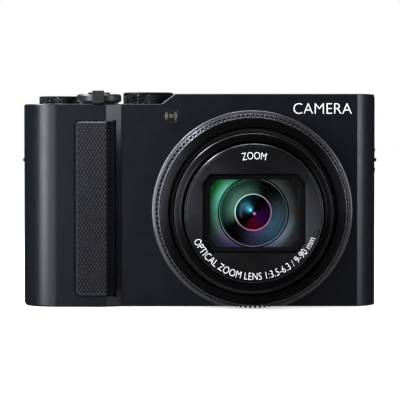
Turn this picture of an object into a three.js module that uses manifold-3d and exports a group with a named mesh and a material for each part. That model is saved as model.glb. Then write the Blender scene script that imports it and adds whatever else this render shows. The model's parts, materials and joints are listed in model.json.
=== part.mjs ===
// A compact digital camera with a retracting zoom lens, in millimetres.
// X runs to the right as seen from in front, the lens looks along -Y and Z is up.
// The origin is in the middle of the underside. The lens stands at its switched-on position.
import * as THREE from "three";
import { mergeVertices } from "three/addons/utils/BufferGeometryUtils.js";
import Module from "manifold-3d";

const wasm = await Module();
wasm.setup();

// ---- Driving dimensions ----
const GAP = 0.3; // clearance between neighbouring pieces
const FAR = 200; // reach of a cutting block past the object

// Body, seen from above
const LEFT = -55.34;
const RIGHT = 55.35;
const FRONT = -13; // front plane beside the lens
const GRIP_FRONT = -16.2; // front plane of the grip bulge
const REAR = 15;
const SEAM = -1; // front and rear casings meet here on both sides
const WALL = 1.3;
const REAR_WALL = 1.5;
const GRIP_EDGE_X = -29.25; // where the grip's front turns into its slanted side
const SLANT_END_X = -24.4; // where the slanted side meets the front plane
const LEFT_FRONT_R = 11;
const RIGHT_FRONT_R = 11.6;
const RIGHT_FRONT_CENTRE = [43.75, -2.76];
const REAR_LEFT_R = 6;
const REAR_RIGHT_R = 4;

// Body, heights
const DECK = 63.3; // top deck that carries the dials
const HUMP = 66.5; // top of the finder and flash hump
const RAMP_X = [-12, -7.7]; // the hump's sloping end
const COVER_Z = 61.5; // underside of the top cover
const COVER_WALL = 1.2;
const BASE_THICKNESS = 1.5;

// Lens: radii and places along Y
const LENS_X = 16.37;
const LENS_Z = 30;
const COLLAR_R = 31.3;
const COLLAR_BORE_R = 26.1;
const COLLAR_FRONT = -15.5;
const COLLAR_FLAT_Z = 0.3; // the collar is cut flat just above the underside
const RING_R = 29.85;
const RING_FACE_R = 28.8;
const RING_BORE_R = 26;
const RING_FRONT = -24.5;
const RING_CHAMFER = 1.3;
const TUBE_R = 25.7; // fixed tube that the control ring turns on
const TUBE_FRONT = -24.3;
const HOUSING_R = 27.5;
const HOUSING_BORE_R = 24.5;
const HOUSING_FRONT = -12.9;
const HOUSING_REAR = 5.2;
const LENS_CLEARANCE = 0.7; // casing to housing
const OUTER_BARREL_R = 24.15;
const OUTER_BARREL_LIP_R = 21.8;
const OUTER_BARREL_BORE_R = 22.6;
const OUTER_BARREL_FRONT = -33.5;
const OUTER_BARREL_REAR = -11.5;
const INNER_BARREL_R = 21;
const INNER_BARREL_BORE_R = 19.5;
const INNER_BARREL_FLANGE_R = 22.3;
const INNER_BARREL_FRONT = -43;
const INNER_BARREL_REAR = -19.2;
const NAME_RING_R = 20.45;
const NAME_RING_Y = [-43.2, -41.3];
const NAME_WINDOW = { halfX: 15.5, halfZ: 11.9, cutX: 2.4, cutZ: 2.8 };
const BARRIER_WINDOW = { halfX: 13.15, halfZ: 10.2, cutX: 2.0, cutZ: 2.4 };
const BARRIER_R = 19.1;
const BARRIER_FRAME_Y = [-41, -40.4];
const BLADE_SWING = THREE.MathUtils.degToRad(36);
const BLADE = { pinX: 16, pinZ: 8, r: 18.9, steps: 4, front: -40.1, pitch: 0.6, thickness: 0.3 };
const BLADE_LUG = { halfX: 1.4, below: 1, overlap: 1 };
const FRONT_ELEMENT = { r: 17.3, vertex: -37.6, rear: -33.4, curve: 60, rings: [0, 5, 10, 14] };
const FRONT_CELL = { bore: 10.4, step: -29.6, rearBore: 5.2, ledge: -29, rear: -27 };
const SECOND_ELEMENT = { r: 8.5, vertex: -26.7, rear: -23.5, curve: 24, rings: [0, 3, 6] };
const SHUTTER_UNIT = { hole: 7, y: [0.2, 3.9] };
const IMAGE_SENSOR = { halfX: 10, halfZ: 8, y: [5.5, 7] };
const SENSOR_BOARD = { halfX: 18, halfZ: 15, y: [7.3, 8.3] };
const LENS_MOUNT_BORE = 12; // hole in the housing's rear wall, in front of the sensor

// Controls on the top
const MODE_DIAL = { x: -16.3, y: 2, r: 8.06, top: 67.1, shaft: 2.5, recess: 0.2, moat: 0.55 };
const CONTROL_DIAL = { x: -44.8, y: 7, r: 6.55, top: 65.95, shaft: 2 };
const LEVER = { x: -31.6, y: -8.5, r: 7, bore: 3.8, bottom: 63.9, top: 66.4, hub: 4.8, hubBottom: 59.4 };
const LEVER_TAB = { width: 3.5, front: -17.5, top: 67.5, overlap: 1.5 };
const SHUTTER_BUTTON = { r: 3.45, top: 67, bottom: 63.2, stem: 2, stemBottom: 58 };
const DIAL_SHAFT_DEPTH = 4;
const MOVIE_BUTTON = { x: -31, y: 3.2, r: 2.3, top: 63.9, lip: 0.8 };
const POWER = { x: -31, y: 9.6, halfLength: 2.1, halfWidth: 1.5, travel: 3, top: 64.6 };
const POWER_LIP = { x: 1.2, y: 0.9 }; // flange under the cover

// Pop-up flash
const FLASH_X = [21, 47];
const FLASH_Y = [-10.9, -2.5]; // front edge and hinge line
const FLASH_PIVOT_Z = 65;
const FLASH_PIVOT_R = 1.5;
const FLASH_BOTTOM = 62;
const FLASH_PIN_R = 0.6;
const FLASH_WINDOW = { ends: 4, front: 1.1, rear: 1.6, raise: 0.1, thickness: 0.9 };
const PIN_INSET = 0.5; // the hinge pin's blind holes start this far inside the tray's ends
const TRAY = { x: [19.5, 48.5], rear: 0.9, bottom: 60.3, floor: 61.6, wall: 1.1 };

// Rear of the body
const SCREEN = { x: [-26, 49.5], z: [3, 47], y: [13.5, 15.3] };
const SCREEN_MODULE = { y: [11.2, 13.2], insetX: 2, insetZ: 1.5 };
const FINDER = { x: 36.5, z: 55.5, halfX: 6.5, halfZ: 4, lensY: [13.2, 15] };
const FINDER_MODULE = { halfX: 6, halfZ: 5, y: [6.3, 12.9] };
const EYECUP = { halfX: 8.5, halfZ: 5.5, y: [15.3, 20], openX: 5.6, openZ: 3.6, corner: 2.6 };
const DIOPTER = { x: 48.3, z: 55.5, r: 2.5, y: [12.2, 16.2] };
const THUMB = { x: [-48.5, -36], z: [47, 60], rise: 1.7, slope: 1.8, sunk: 0.5 };
const PAD = { x: -39, z: 26, r: 8.6, bore: 3.9, hole: 9, y: [12.3, 16], dish: 0.4 };
const PIVOT = { arm: 5, halfWidth: 1.6, r: 2.8, bore: 1.5, y: [11, 11.5] };
const SET_BUTTON = { r: 3.4, y: [12.4, 16.2], stem: 1, stemFront: 11.4 };
const REAR_BUTTONS = {
  lock_button: { x: -31.5, z: 54, r: 2.2 },
  play_button: { x: -32, z: 41, r: 2.3 },
  display_button: { x: -31.5, z: 10.5, r: 2.3 },
  delete_button: { x: -46, z: 10.5, r: 2.3 },
  finder_button: { x: 23, z: 55, r: 2.2 },
};
const BUTTON_Y = { flange: 12.3, shoulder: 13.2, face: 15.9, lip: 0.7 };

// Sides and underside
const SIDE_CUT = 15; // depth of the openings cut in the sides
const EYELET = { y: [1.2, 7.8], z: [42, 49.5], depth: 3.35, wall: 0.5 };
const EYELET_BAR = { half: 0.8, depth: 0.95, proud: 0.25 };
const PORT_DOOR = { y: [1, 8.8], z: [14, 34], thickness: 1.2 };
const PORTS = { usb_port: [16, 23.8], hdmi_port: [25.5, 32.5] }; // heights
const PORT = { y: [4.9, 8.4], inner: -48, wall: 0.4, back: 1.2 };
const PORT_TONGUE = { y: [6.3, 7], front: 0.8, back: 1, side: 1.4 };
const DOOR = { x: [-50.9, -12.7], y: [-9.3, 9.3] }; // battery door, hinged at its inner edge
const LATCH = { x: -49.6, length: 5, halfWidth: 2, travel: 2.5, bottom: 0.15 };
const LATCH_LIP = { ends: [0.9, 1.2], sides: 1.2, thickness: 0.8 };
const TRIPOD = { x: -5.6, y: -1, bore: 3.05, r: 4.5, flange: 5.6, flangeTop: 2.8, top: 7, end: 6.5 };
const LAMP = { x: -8.96, z: 59.6, r: 2, proud: 0.2 };
const RUBBER = { left: -38.8, slantEnd: -26.65, z: [3.35, 57.9], proud: 0.45, sunk: 0.45 };

// Inside: each block's X, Y and Z
const BATTERY_HOLDER = [[-50.6, -12.4], [-11.3, 4.4], [3, 49.3]];
const BATTERY_BAY = [[-49.8, -13.2], [-10.5, 3.6], [0, 48.5]];
const BATTERY = [[-49.5, -13.5], [-10.2, 3.3], [3.2, 48.2]];
const MEMORY_CARD = [[-44, -20], [5.5, 7.6], [3.4, 35.4]];
const MAIN_BOARD = [[-26, 50.5], [9.4, 10.4], [4, 49]];
const BUTTON_BOARD = [[-50.5, -28], [9.8, 10.6], [6, 57]];
const CAPACITOR = { x: 49.3, y: -1, r: 3.8, z: [8, 36] };

// Smoothness: sides of a full circle
const LARGE = 48;
const MEDIUM = 32;
const SMALL = 20;

// ---- Materials ----
const plastic = (color, roughness = 0.6) => {
  return new THREE.MeshStandardMaterial({ color, roughness, metalness: 0 });
};
const metal = (color, roughness = 0.4) => {
  return new THREE.MeshStandardMaterial({ color, roughness, metalness: 0.9 });
};
const glass = (color, opacity) => {
  return new THREE.MeshStandardMaterial({ color, opacity, roughness: 0.05, metalness: 0, transparent: true });
};
const CASING = 0x26272b;
const BLACK = 0x141416;
const RUBBER_GREY = 0x1c1c1f;
const STEEL = 0x9a9da3;
const BOARD_GREEN = 0x1f4d33;

// ---- Solids from three.js geometry ----
function toSolid(geometry) {
  const bare = new THREE.BufferGeometry().setAttribute("position", geometry.getAttribute("position"));
  if (geometry.index) bare.setIndex(geometry.index);
  const merged = mergeVertices(bare, 1e-4);
  const corners = merged.index.array;
  const kept = [];
  for (let i = 0; i < corners.length; i += 3) {
    const [a, b, c] = corners.slice(i, i + 3);
    if (a !== b && b !== c && c !== a) kept.push(a, b, c);
  }
  return new wasm.Manifold(
    new wasm.Mesh({
      numProp: 3,
      vertProperties: merged.attributes.position.array,
      triVerts: new Uint32Array(kept),
    }),
  );
}

function toGeometry(solid) {
  const made = solid.getMesh();
  return new THREE.BufferGeometry()
    .setAttribute("position", new THREE.BufferAttribute(made.vertProperties, 3))
    .setIndex(new THREE.BufferAttribute(made.triVerts, 1));
}

const union = (...solids) => solids.reduce((all, next) => all.add(next));
const cut = (base, ...tools) => tools.reduce((left, tool) => left.subtract(tool), base);

function box([x0, x1], [y0, y1], [z0, z1]) {
  const block = new THREE.BoxGeometry(x1 - x0, y1 - y0, z1 - z0);
  return toSolid(block.translate((x0 + x1) / 2, (y0 + y1) / 2, (z0 + z1) / 2));
}

const FROM_YZ = new THREE.Matrix4().makeBasis(
  new THREE.Vector3(0, 1, 0),
  new THREE.Vector3(0, 0, 1),
  new THREE.Vector3(1, 0, 0),
);

function extrude(shape, depth, sides) {
  return new THREE.ExtrudeGeometry(shape, { depth, bevelEnabled: false, curveSegments: sides });
}

// A shape drawn in X and Y, standing from z0 to z1.
function prismZ(shape, [z0, z1], sides = 8) {
  return toSolid(extrude(shape, z1 - z0, sides).translate(0, 0, z0));
}

// A shape drawn in X and Z, running from y0 to y1.
function prismY(shape, [y0, y1], sides = 8) {
  return toSolid(extrude(shape, y1 - y0, sides).rotateX(Math.PI / 2).translate(0, y1, 0));
}

// A shape drawn in Y and Z, running from x0 to x1.
function prismX(shape, [x0, x1], sides = 8) {
  return toSolid(extrude(shape, x1 - x0, sides).applyMatrix4(FROM_YZ).translate(x0, 0, 0));
}

function cylinderZ(r, [z0, z1], x = 0, y = 0, sides = SMALL) {
  const drum = new THREE.CylinderGeometry(r, r, z1 - z0, sides);
  return toSolid(drum.rotateX(Math.PI / 2).translate(x, y, (z0 + z1) / 2));
}

function cylinderY(r, [y0, y1], x = 0, z = 0, sides = SMALL) {
  const drum = new THREE.CylinderGeometry(r, r, y1 - y0, sides);
  return toSolid(drum.translate(x, (y0 + y1) / 2, z));
}

function cylinderX(r, [x0, x1], y = 0, z = 0, sides = SMALL) {
  const drum = new THREE.CylinderGeometry(r, r, x1 - x0, sides);
  return toSolid(drum.rotateZ(Math.PI / 2).translate((x0 + x1) / 2, y, z));
}

// A turned piece about the Y axis. Its profile lists [radius, y] and is closed by the function.
function turnedY(profile, sides = LARGE) {
  const area = profile.reduce((sum, [r, y], i) => {
    const [nextR, nextY] = profile[(i + 1) % profile.length];
    return sum + r * nextY - nextR * y;
  }, 0);
  const loop = area > 0 ? profile : [...profile].reverse();
  const points = [...loop, loop[0]].map(([r, y]) => new THREE.Vector2(r, y));
  return toSolid(new THREE.LatheGeometry(points, sides));
}

function polygon(points) {
  return new THREE.Shape(points.map(([a, b]) => new THREE.Vector2(a, b)));
}

function roundedRectangle([a0, a1], [b0, b1], r) {
  const shape = new THREE.Shape();
  shape.absarc(a1 - r, b0 + r, r, -Math.PI / 2, 0);
  shape.absarc(a1 - r, b1 - r, r, 0, Math.PI / 2);
  shape.absarc(a0 + r, b1 - r, r, Math.PI / 2, Math.PI);
  shape.absarc(a0 + r, b0 + r, r, Math.PI, Math.PI * 1.5);
  shape.closePath();
  return shape;
}

// ---- The object ----
const camera = new THREE.Group();
const body = new THREE.Group();
const lens = new THREE.Group();
lens.position.set(LENS_X, 0, LENS_Z);
camera.add(body, lens);

function addPiece(group, name, solid, material, position = [0, 0, 0]) {
  const mesh = new THREE.Mesh(toGeometry(solid), material);
  mesh.name = name;
  mesh.position.set(...position);
  group.add(mesh);
}

// The body's outline from above, moved inwards by a distance.
function bodyOutline(inset) {
  const slantAngle = Math.atan2(FRONT - GRIP_FRONT, SLANT_END_X - GRIP_EDGE_X);
  const slantShift = inset * Math.tan(slantAngle / 2);
  const [rightX, rightY] = RIGHT_FRONT_CENTRE;
  const rightR = RIGHT_FRONT_R - inset;
  const crease = Math.acos((rightY - FRONT - inset) / rightR);
  const leftX = LEFT + LEFT_FRONT_R;
  const leftY = GRIP_FRONT + LEFT_FRONT_R;
  const outline = new THREE.Shape();
  outline.absarc(leftX, leftY, LEFT_FRONT_R - inset, Math.PI, Math.PI * 1.5);
  outline.lineTo(GRIP_EDGE_X - slantShift, GRIP_FRONT + inset);
  outline.lineTo(SLANT_END_X - slantShift, FRONT + inset);
  outline.absarc(rightX, rightY, rightR, crease - Math.PI / 2, 0);
  outline.absarc(RIGHT - REAR_RIGHT_R, REAR - REAR_RIGHT_R, REAR_RIGHT_R - inset, 0, Math.PI / 2);
  outline.absarc(LEFT + REAR_LEFT_R, REAR - REAR_LEFT_R, REAR_LEFT_R - inset, Math.PI / 2, Math.PI);
  outline.closePath();
  return outline;
}

// Everything above the deck and the hump, which trims the casing and the cover.
function aboveTheTop() {
  const [start, end] = RAMP_X;
  const slope = (HUMP - DECK) / (end - start);
  const fillet = 1;
  const shape = new THREE.Shape();
  shape.moveTo(LEFT - FAR, DECK);
  shape.lineTo(start - fillet, DECK);
  shape.quadraticCurveTo(start, DECK, start + fillet, DECK + fillet * slope);
  shape.lineTo(end, HUMP);
  shape.lineTo(RIGHT + FAR, HUMP);
  shape.lineTo(RIGHT + FAR, HUMP + FAR);
  shape.lineTo(LEFT - FAR, HUMP + FAR);
  shape.closePath();
  return prismY(shape, [-FAR, FAR], 4);
}

const inFrontOf = (y) => box([-FAR, FAR], [-FAR, y], [-FAR, FAR]);
const behind = (y) => box([-FAR, FAR], [y, FAR], [-FAR, FAR]);

// The rubber's plan, from its left edge along the grip's front and on to the slanted side.
function rubberPlan(outward, inward, spread) {
  const along = new THREE.Vector2(SLANT_END_X - GRIP_EDGE_X, FRONT - GRIP_FRONT).normalize();
  const normal = new THREE.Vector2(along.y, -along.x);
  const shift = Math.tan(along.angle() / 2);
  const endDistance = (RUBBER.slantEnd - GRIP_EDGE_X) / along.x + spread;
  const slantPoint = (offset) => [
    GRIP_EDGE_X + along.x * endDistance + normal.x * offset,
    GRIP_FRONT + along.y * endDistance + normal.y * offset,
  ];
  return polygon([
    [RUBBER.left - spread, GRIP_FRONT - outward],
    [GRIP_EDGE_X + shift * outward, GRIP_FRONT - outward],
    slantPoint(outward),
    slantPoint(-inward),
    [GRIP_EDGE_X - shift * inward, GRIP_FRONT + inward],
    [RUBBER.left - spread, GRIP_FRONT + inward],
  ]);
}

function addCasings() {
  const shell = cut(
    prismZ(bodyOutline(0), [0, HUMP]),
    prismZ(bodyOutline(WALL), [-FAR, FAR]),
    aboveTheTop(),
  );
  const bedZ = [RUBBER.z[0] - GAP, RUBBER.z[1] + GAP];
  const rubberBed = prismZ(rubberPlan(WALL, RUBBER.sunk + GAP, GAP), bedZ);
  const frontCasing = cut(
    shell,
    behind(SEAM),
    cylinderY(HOUSING_R + LENS_CLEARANCE, [-FAR, 0], LENS_X, LENS_Z, LARGE),
    cylinderY(LAMP.r + GAP, [-FAR, 0], LAMP.x, LAMP.z),
    rubberBed,
  );
  addPiece(body, "front_casing", frontCasing, plastic(CASING));

  const rubber = prismZ(rubberPlan(RUBBER.proud, RUBBER.sunk, 0), RUBBER.z);
  addPiece(body, "grip_rubber", rubber, plastic(RUBBER_GREY, 0.9));

  const rearShell = cut(
    prismZ(bodyOutline(0), [0, COVER_Z - GAP]),
    prismZ(bodyOutline(WALL), [-FAR, FAR]).subtract(behind(REAR - REAR_WALL)),
    inFrontOf(SEAM + GAP),
  );
  const [thumbLeft, thumbRight] = THUMB.x;
  const thumbRest = prismZ(
    polygon([
      [thumbLeft, REAR - THUMB.sunk],
      [thumbRight, REAR - THUMB.sunk],
      [thumbRight - THUMB.slope, REAR + THUMB.rise],
      [thumbLeft + THUMB.slope, REAR + THUMB.rise],
    ]),
    THUMB.z,
  );
  const screenHole = box(
    [SCREEN.x[0] - GAP, SCREEN.x[1] + GAP],
    [0, FAR],
    [SCREEN.z[0] - GAP, SCREEN.z[1] + GAP],
  );
  const finderHole = box(
    [FINDER.x - FINDER.halfX, FINDER.x + FINDER.halfX],
    [0, FAR],
    [FINDER.z - FINDER.halfZ, FINDER.z + FINDER.halfZ],
  );
  const buttonHoles = Object.values(REAR_BUTTONS).map(({ x, z, r }) => cylinderY(r + GAP, [0, FAR], x, z));
  const sideHole = (side, { y, z }) => {
    const x = side < 0 ? [-FAR, LEFT + SIDE_CUT] : [RIGHT - SIDE_CUT, FAR];
    return box(x, [y[0] - GAP, y[1] + GAP], [z[0] - GAP, z[1] + GAP]);
  };
  const doorHole = { y: [PORT_DOOR.y[0] - PORT_DOOR.thickness / 2, PORT_DOOR.y[1]], z: PORT_DOOR.z };
  const rearCasing = cut(
    union(rearShell, thumbRest),
    screenHole,
    finderHole,
    cylinderY(PAD.hole, [0, FAR], PAD.x, PAD.z, MEDIUM),
    cylinderY(DIOPTER.r + GAP, [0, FAR], DIOPTER.x, DIOPTER.z),
    ...buttonHoles,
    sideHole(-1, EYELET),
    sideHole(1, EYELET),
    sideHole(-1, doorHole),
  );
  addPiece(body, "rear_casing", rearCasing, plastic(CASING));
}

function addTopCover() {
  const overSides = prismZ(bodyOutline(0), [COVER_Z, HUMP]).subtract(inFrontOf(SEAM + GAP));
  const insideWall = prismZ(bodyOutline(WALL + GAP), [COVER_Z, HUMP]);
  const hollow = prismZ(bodyOutline(WALL + GAP + COVER_WALL), [0, HUMP - REAR_WALL]).intersect(
    box([RAMP_X[1] + COVER_WALL, FAR], [-FAR, FAR], [-FAR, FAR]),
  );
  const [trayLeft, trayRight] = TRAY.x;
  const trayY = [FRONT + WALL + GAP, TRAY.rear];
  const tray = box(TRAY.x, trayY, [TRAY.bottom, HUMP]);
  const flashBay = box(
    [trayLeft + TRAY.wall, trayRight - TRAY.wall],
    [-FAR, TRAY.rear - TRAY.wall],
    [TRAY.floor, FAR],
  );
  const powerReach = POWER.halfLength + POWER.travel / 2 + GAP;
  const powerSlot = box(
    [POWER.x - powerReach, POWER.x + powerReach],
    [POWER.y - POWER.halfWidth - GAP, POWER.y + POWER.halfWidth + GAP],
    [0, FAR],
  );
  const topCover = cut(
    union(cut(union(overSides, insideWall), hollow), tray),
    aboveTheTop(),
    flashBay,
    cylinderX(FLASH_PIN_R + GAP, [trayLeft + PIN_INSET, trayRight - PIN_INSET], FLASH_Y[1], FLASH_PIVOT_Z),
    cylinderZ(MODE_DIAL.r + MODE_DIAL.moat, [DECK - MODE_DIAL.recess, FAR], MODE_DIAL.x, MODE_DIAL.y, MEDIUM),
    cylinderZ(MODE_DIAL.shaft + GAP, [0, FAR], MODE_DIAL.x, MODE_DIAL.y),
    cylinderZ(CONTROL_DIAL.shaft + GAP, [0, FAR], CONTROL_DIAL.x, CONTROL_DIAL.y),
    cylinderZ(LEVER.hub + GAP, [0, FAR], LEVER.x, LEVER.y),
    cylinderZ(MOVIE_BUTTON.r + GAP, [0, FAR], MOVIE_BUTTON.x, MOVIE_BUTTON.y),
    powerSlot,
  );
  addPiece(body, "top_cover", topCover, plastic(CASING));
}

function addBase() {
  const [doorLeft, hingeX] = DOOR.x;
  const half = BASE_THICKNESS / 2;
  const doorHole = box(
    [doorLeft - GAP, hingeX + half + GAP],
    [DOOR.y[0] - GAP, DOOR.y[1] + GAP],
    [-FAR, FAR],
  );
  const base = cut(
    prismZ(bodyOutline(WALL + GAP), [0, BASE_THICKNESS]),
    doorHole,
    cylinderZ(TRIPOD.r + GAP, [-FAR, FAR], TRIPOD.x, TRIPOD.y),
  );
  addPiece(body, "bottom_cover", base, plastic(CASING));

  const socket = cut(
    union(
      cylinderZ(TRIPOD.r, [0, TRIPOD.top], TRIPOD.x, TRIPOD.y),
      cylinderZ(TRIPOD.flange, [BASE_THICKNESS + GAP, TRIPOD.flangeTop], TRIPOD.x, TRIPOD.y),
    ),
    cylinderZ(TRIPOD.bore, [-FAR, TRIPOD.end], TRIPOD.x, TRIPOD.y),
  );
  addPiece(body, "tripod_socket", socket, metal(STEEL));

  // The battery door's inner edge is round about its hinge line.
  const slot = box(
    [LATCH.x - GAP, LATCH.x + LATCH.length + LATCH.travel + GAP],
    [-LATCH.halfWidth - GAP, LATCH.halfWidth + GAP],
    [-FAR, FAR],
  );
  const doorEdge = cylinderY(half, DOOR.y, hingeX, half);
  const door = cut(union(box([doorLeft, hingeX], DOOR.y, [0, BASE_THICKNESS]), doorEdge), slot);
  addPiece(body, "battery_door", door, plastic(CASING));

  const latchTop = BASE_THICKNESS + GAP;
  const lipHalf = LATCH.halfWidth + LATCH_LIP.sides;
  const latchEnd = LATCH.x + LATCH.length;
  const latch = union(
    box([LATCH.x, latchEnd], [-LATCH.halfWidth, LATCH.halfWidth], [LATCH.bottom, latchTop]),
    box(
      [LATCH.x - LATCH_LIP.ends[0], latchEnd + LATCH_LIP.ends[1]],
      [-lipHalf, lipHalf],
      [latchTop, latchTop + LATCH_LIP.thickness],
    ),
  );
  addPiece(body, "battery_door_latch", latch, plastic(BLACK));
}

function octagon({ halfX, halfZ, cutX, cutZ }) {
  const corner = (sx, sz) => [
    [sx * halfX, sz * (halfZ - cutZ)],
    [sx * (halfX - cutX), sz * halfZ],
  ];
  return polygon([
    ...corner(1, 1),
    ...corner(-1, 1).reverse(),
    ...corner(-1, -1),
    ...corner(1, -1).reverse(),
  ]);
}

function addLens() {
  const collar = cut(
    turnedY([
      [COLLAR_BORE_R, COLLAR_FRONT],
      [COLLAR_R, COLLAR_FRONT],
      [COLLAR_R, FRONT - GAP],
      [COLLAR_BORE_R, FRONT - GAP],
    ]),
    box([-FAR, FAR], [-FAR, FAR], [-FAR, COLLAR_FLAT_Z - LENS_Z]),
  );
  addPiece(lens, "lens_collar", collar, metal(CASING));

  const ringRear = COLLAR_FRONT - GAP;
  const controlRing = turnedY([
    [RING_BORE_R, RING_FRONT],
    [RING_FACE_R, RING_FRONT],
    [RING_R, RING_FRONT + RING_CHAMFER],
    [RING_R, ringRear],
    [RING_BORE_R, ringRear],
  ]);
  addPiece(lens, "control_ring", controlRing, metal(CASING));

  const housing = turnedY([
    [HOUSING_BORE_R, TUBE_FRONT],
    [TUBE_R, TUBE_FRONT],
    [TUBE_R, HOUSING_FRONT],
    [HOUSING_R, HOUSING_FRONT],
    [HOUSING_R, HOUSING_REAR],
    [LENS_MOUNT_BORE, HOUSING_REAR],
    [LENS_MOUNT_BORE, HOUSING_REAR - 1],
    [HOUSING_BORE_R, HOUSING_REAR - 1],
  ]);
  addPiece(lens, "lens_housing", housing, plastic(BLACK));

  const outerBarrel = turnedY([
    [OUTER_BARREL_LIP_R, OUTER_BARREL_FRONT],
    [OUTER_BARREL_R, OUTER_BARREL_FRONT],
    [OUTER_BARREL_R, OUTER_BARREL_REAR],
    [OUTER_BARREL_BORE_R, OUTER_BARREL_REAR],
    [OUTER_BARREL_BORE_R, OUTER_BARREL_FRONT + 1],
    [OUTER_BARREL_LIP_R, OUTER_BARREL_FRONT + 1],
  ]);
  addPiece(lens, "outer_barrel", outerBarrel, metal(BLACK));

  const seatDepth = NAME_RING_Y[1] + GAP;
  const innerBarrel = turnedY([
    [NAME_RING_R + GAP, INNER_BARREL_FRONT],
    [INNER_BARREL_R, INNER_BARREL_FRONT],
    [INNER_BARREL_R, INNER_BARREL_REAR - 1],
    [INNER_BARREL_FLANGE_R, INNER_BARREL_REAR - 1],
    [INNER_BARREL_FLANGE_R, INNER_BARREL_REAR],
    [INNER_BARREL_BORE_R, INNER_BARREL_REAR],
    [INNER_BARREL_BORE_R, seatDepth],
    [NAME_RING_R + GAP, seatDepth],
  ]);
  addPiece(lens, "inner_barrel", innerBarrel, metal(BLACK));

  const nameRing = cylinderY(NAME_RING_R, NAME_RING_Y, 0, 0, LARGE).subtract(
    prismY(octagon(NAME_WINDOW), [-FAR, FAR]),
  );
  addPiece(lens, "name_ring", nameRing, metal(BLACK));

  const barrierFrame = cylinderY(BARRIER_R, BARRIER_FRAME_Y, 0, 0, LARGE).subtract(
    prismY(octagon(BARRIER_WINDOW), [-FAR, FAR]),
  );
  addPiece(lens, "barrier_frame", barrierFrame, plastic(BLACK));
}

// A lens element with a domed front and a flat rear.
function lensElement({ r: edge, vertex, rear, curve, rings }) {
  const front = [...rings, edge].map((r) => [r, vertex + curve - Math.sqrt(curve * curve - r * r)]);
  return turnedY([...front, [edge, rear], [0, rear]], MEDIUM);
}

function addGlass() {
  addPiece(lens, "front_element", lensElement(FRONT_ELEMENT), glass(0x1c2a33, 0.4));

  const cellR = INNER_BARREL_BORE_R - GAP;
  const cellFront = FRONT_ELEMENT.rear + GAP;
  const frontCell = turnedY(
    [
      [FRONT_CELL.bore, cellFront],
      [cellR, cellFront],
      [cellR, FRONT_CELL.rear],
      [FRONT_CELL.rearBore, FRONT_CELL.rear],
      [FRONT_CELL.rearBore, FRONT_CELL.ledge],
      [FRONT_CELL.bore, FRONT_CELL.step],
    ],
    MEDIUM,
  );
  addPiece(lens, "front_cell", frontCell, plastic(BLACK));
  addPiece(lens, "second_element", lensElement(SECOND_ELEMENT), glass(0x2a2140, 0.4));

  const shutterUnit = cut(
    cylinderY(HOUSING_BORE_R - GAP, SHUTTER_UNIT.y, 0, 0, MEDIUM),
    cylinderY(SHUTTER_UNIT.hole, [-FAR, FAR]),
  );
  addPiece(lens, "shutter_unit", shutterUnit, plastic(BLACK));

  const plate = ({ halfX, halfZ, y }) => box([-halfX, halfX], y, [-halfZ, halfZ]);
  addPiece(lens, "image_sensor", plate(IMAGE_SENSOR), glass(0x303846, 0.9));
  addPiece(lens, "sensor_board", plate(SENSOR_BOARD), plastic(BOARD_GREEN));
}

// A barrier blade lies beside the window when the lens is open and turns on a pin near the rim.
// The rim circle, turned back through the blade's swing, trims whatever would leave the barrel.
function bladeShape(swing) {
  const { pinX, pinZ, r, steps, thickness } = BLADE;
  const pin = new THREE.Vector2(pinX, pinZ);
  const lowEdge = BARRIER_WINDOW.halfZ + GAP;
  const lug = box(
    [pinX - BLADE_LUG.halfX, pinX + BLADE_LUG.halfX],
    [0, thickness],
    [pinZ - BLADE_LUG.below, lowEdge + BLADE_LUG.overlap],
  );
  let blade = box([-r, r], [0, thickness], [lowEdge, r]).add(lug);
  for (let step = 0; step <= steps; step += 1) {
    const centre = new THREE.Vector2(0, 0).rotateAround(pin, (-swing * step) / steps);
    blade = blade.intersect(cylinderY(r, [-1, 1], centre.x, centre.y, LARGE));
  }
  return toGeometry(blade);
}

function addBarrier() {
  const pieces = [
    ["barrier_blade_upper", BLADE_SWING, 0],
    ["barrier_blade_lower", BLADE_SWING, Math.PI],
    ["barrier_leaf_upper", BLADE_SWING / 2, 0],
    ["barrier_leaf_lower", BLADE_SWING / 2, Math.PI],
  ];
  pieces.forEach(([name, swing, turn], level) => {
    const blade = bladeShape(swing).rotateY(turn).translate(0, BLADE.front + level * BLADE.pitch, 0);
    addPiece(lens, name, toSolid(blade), metal(BLACK));
  });
}

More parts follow.
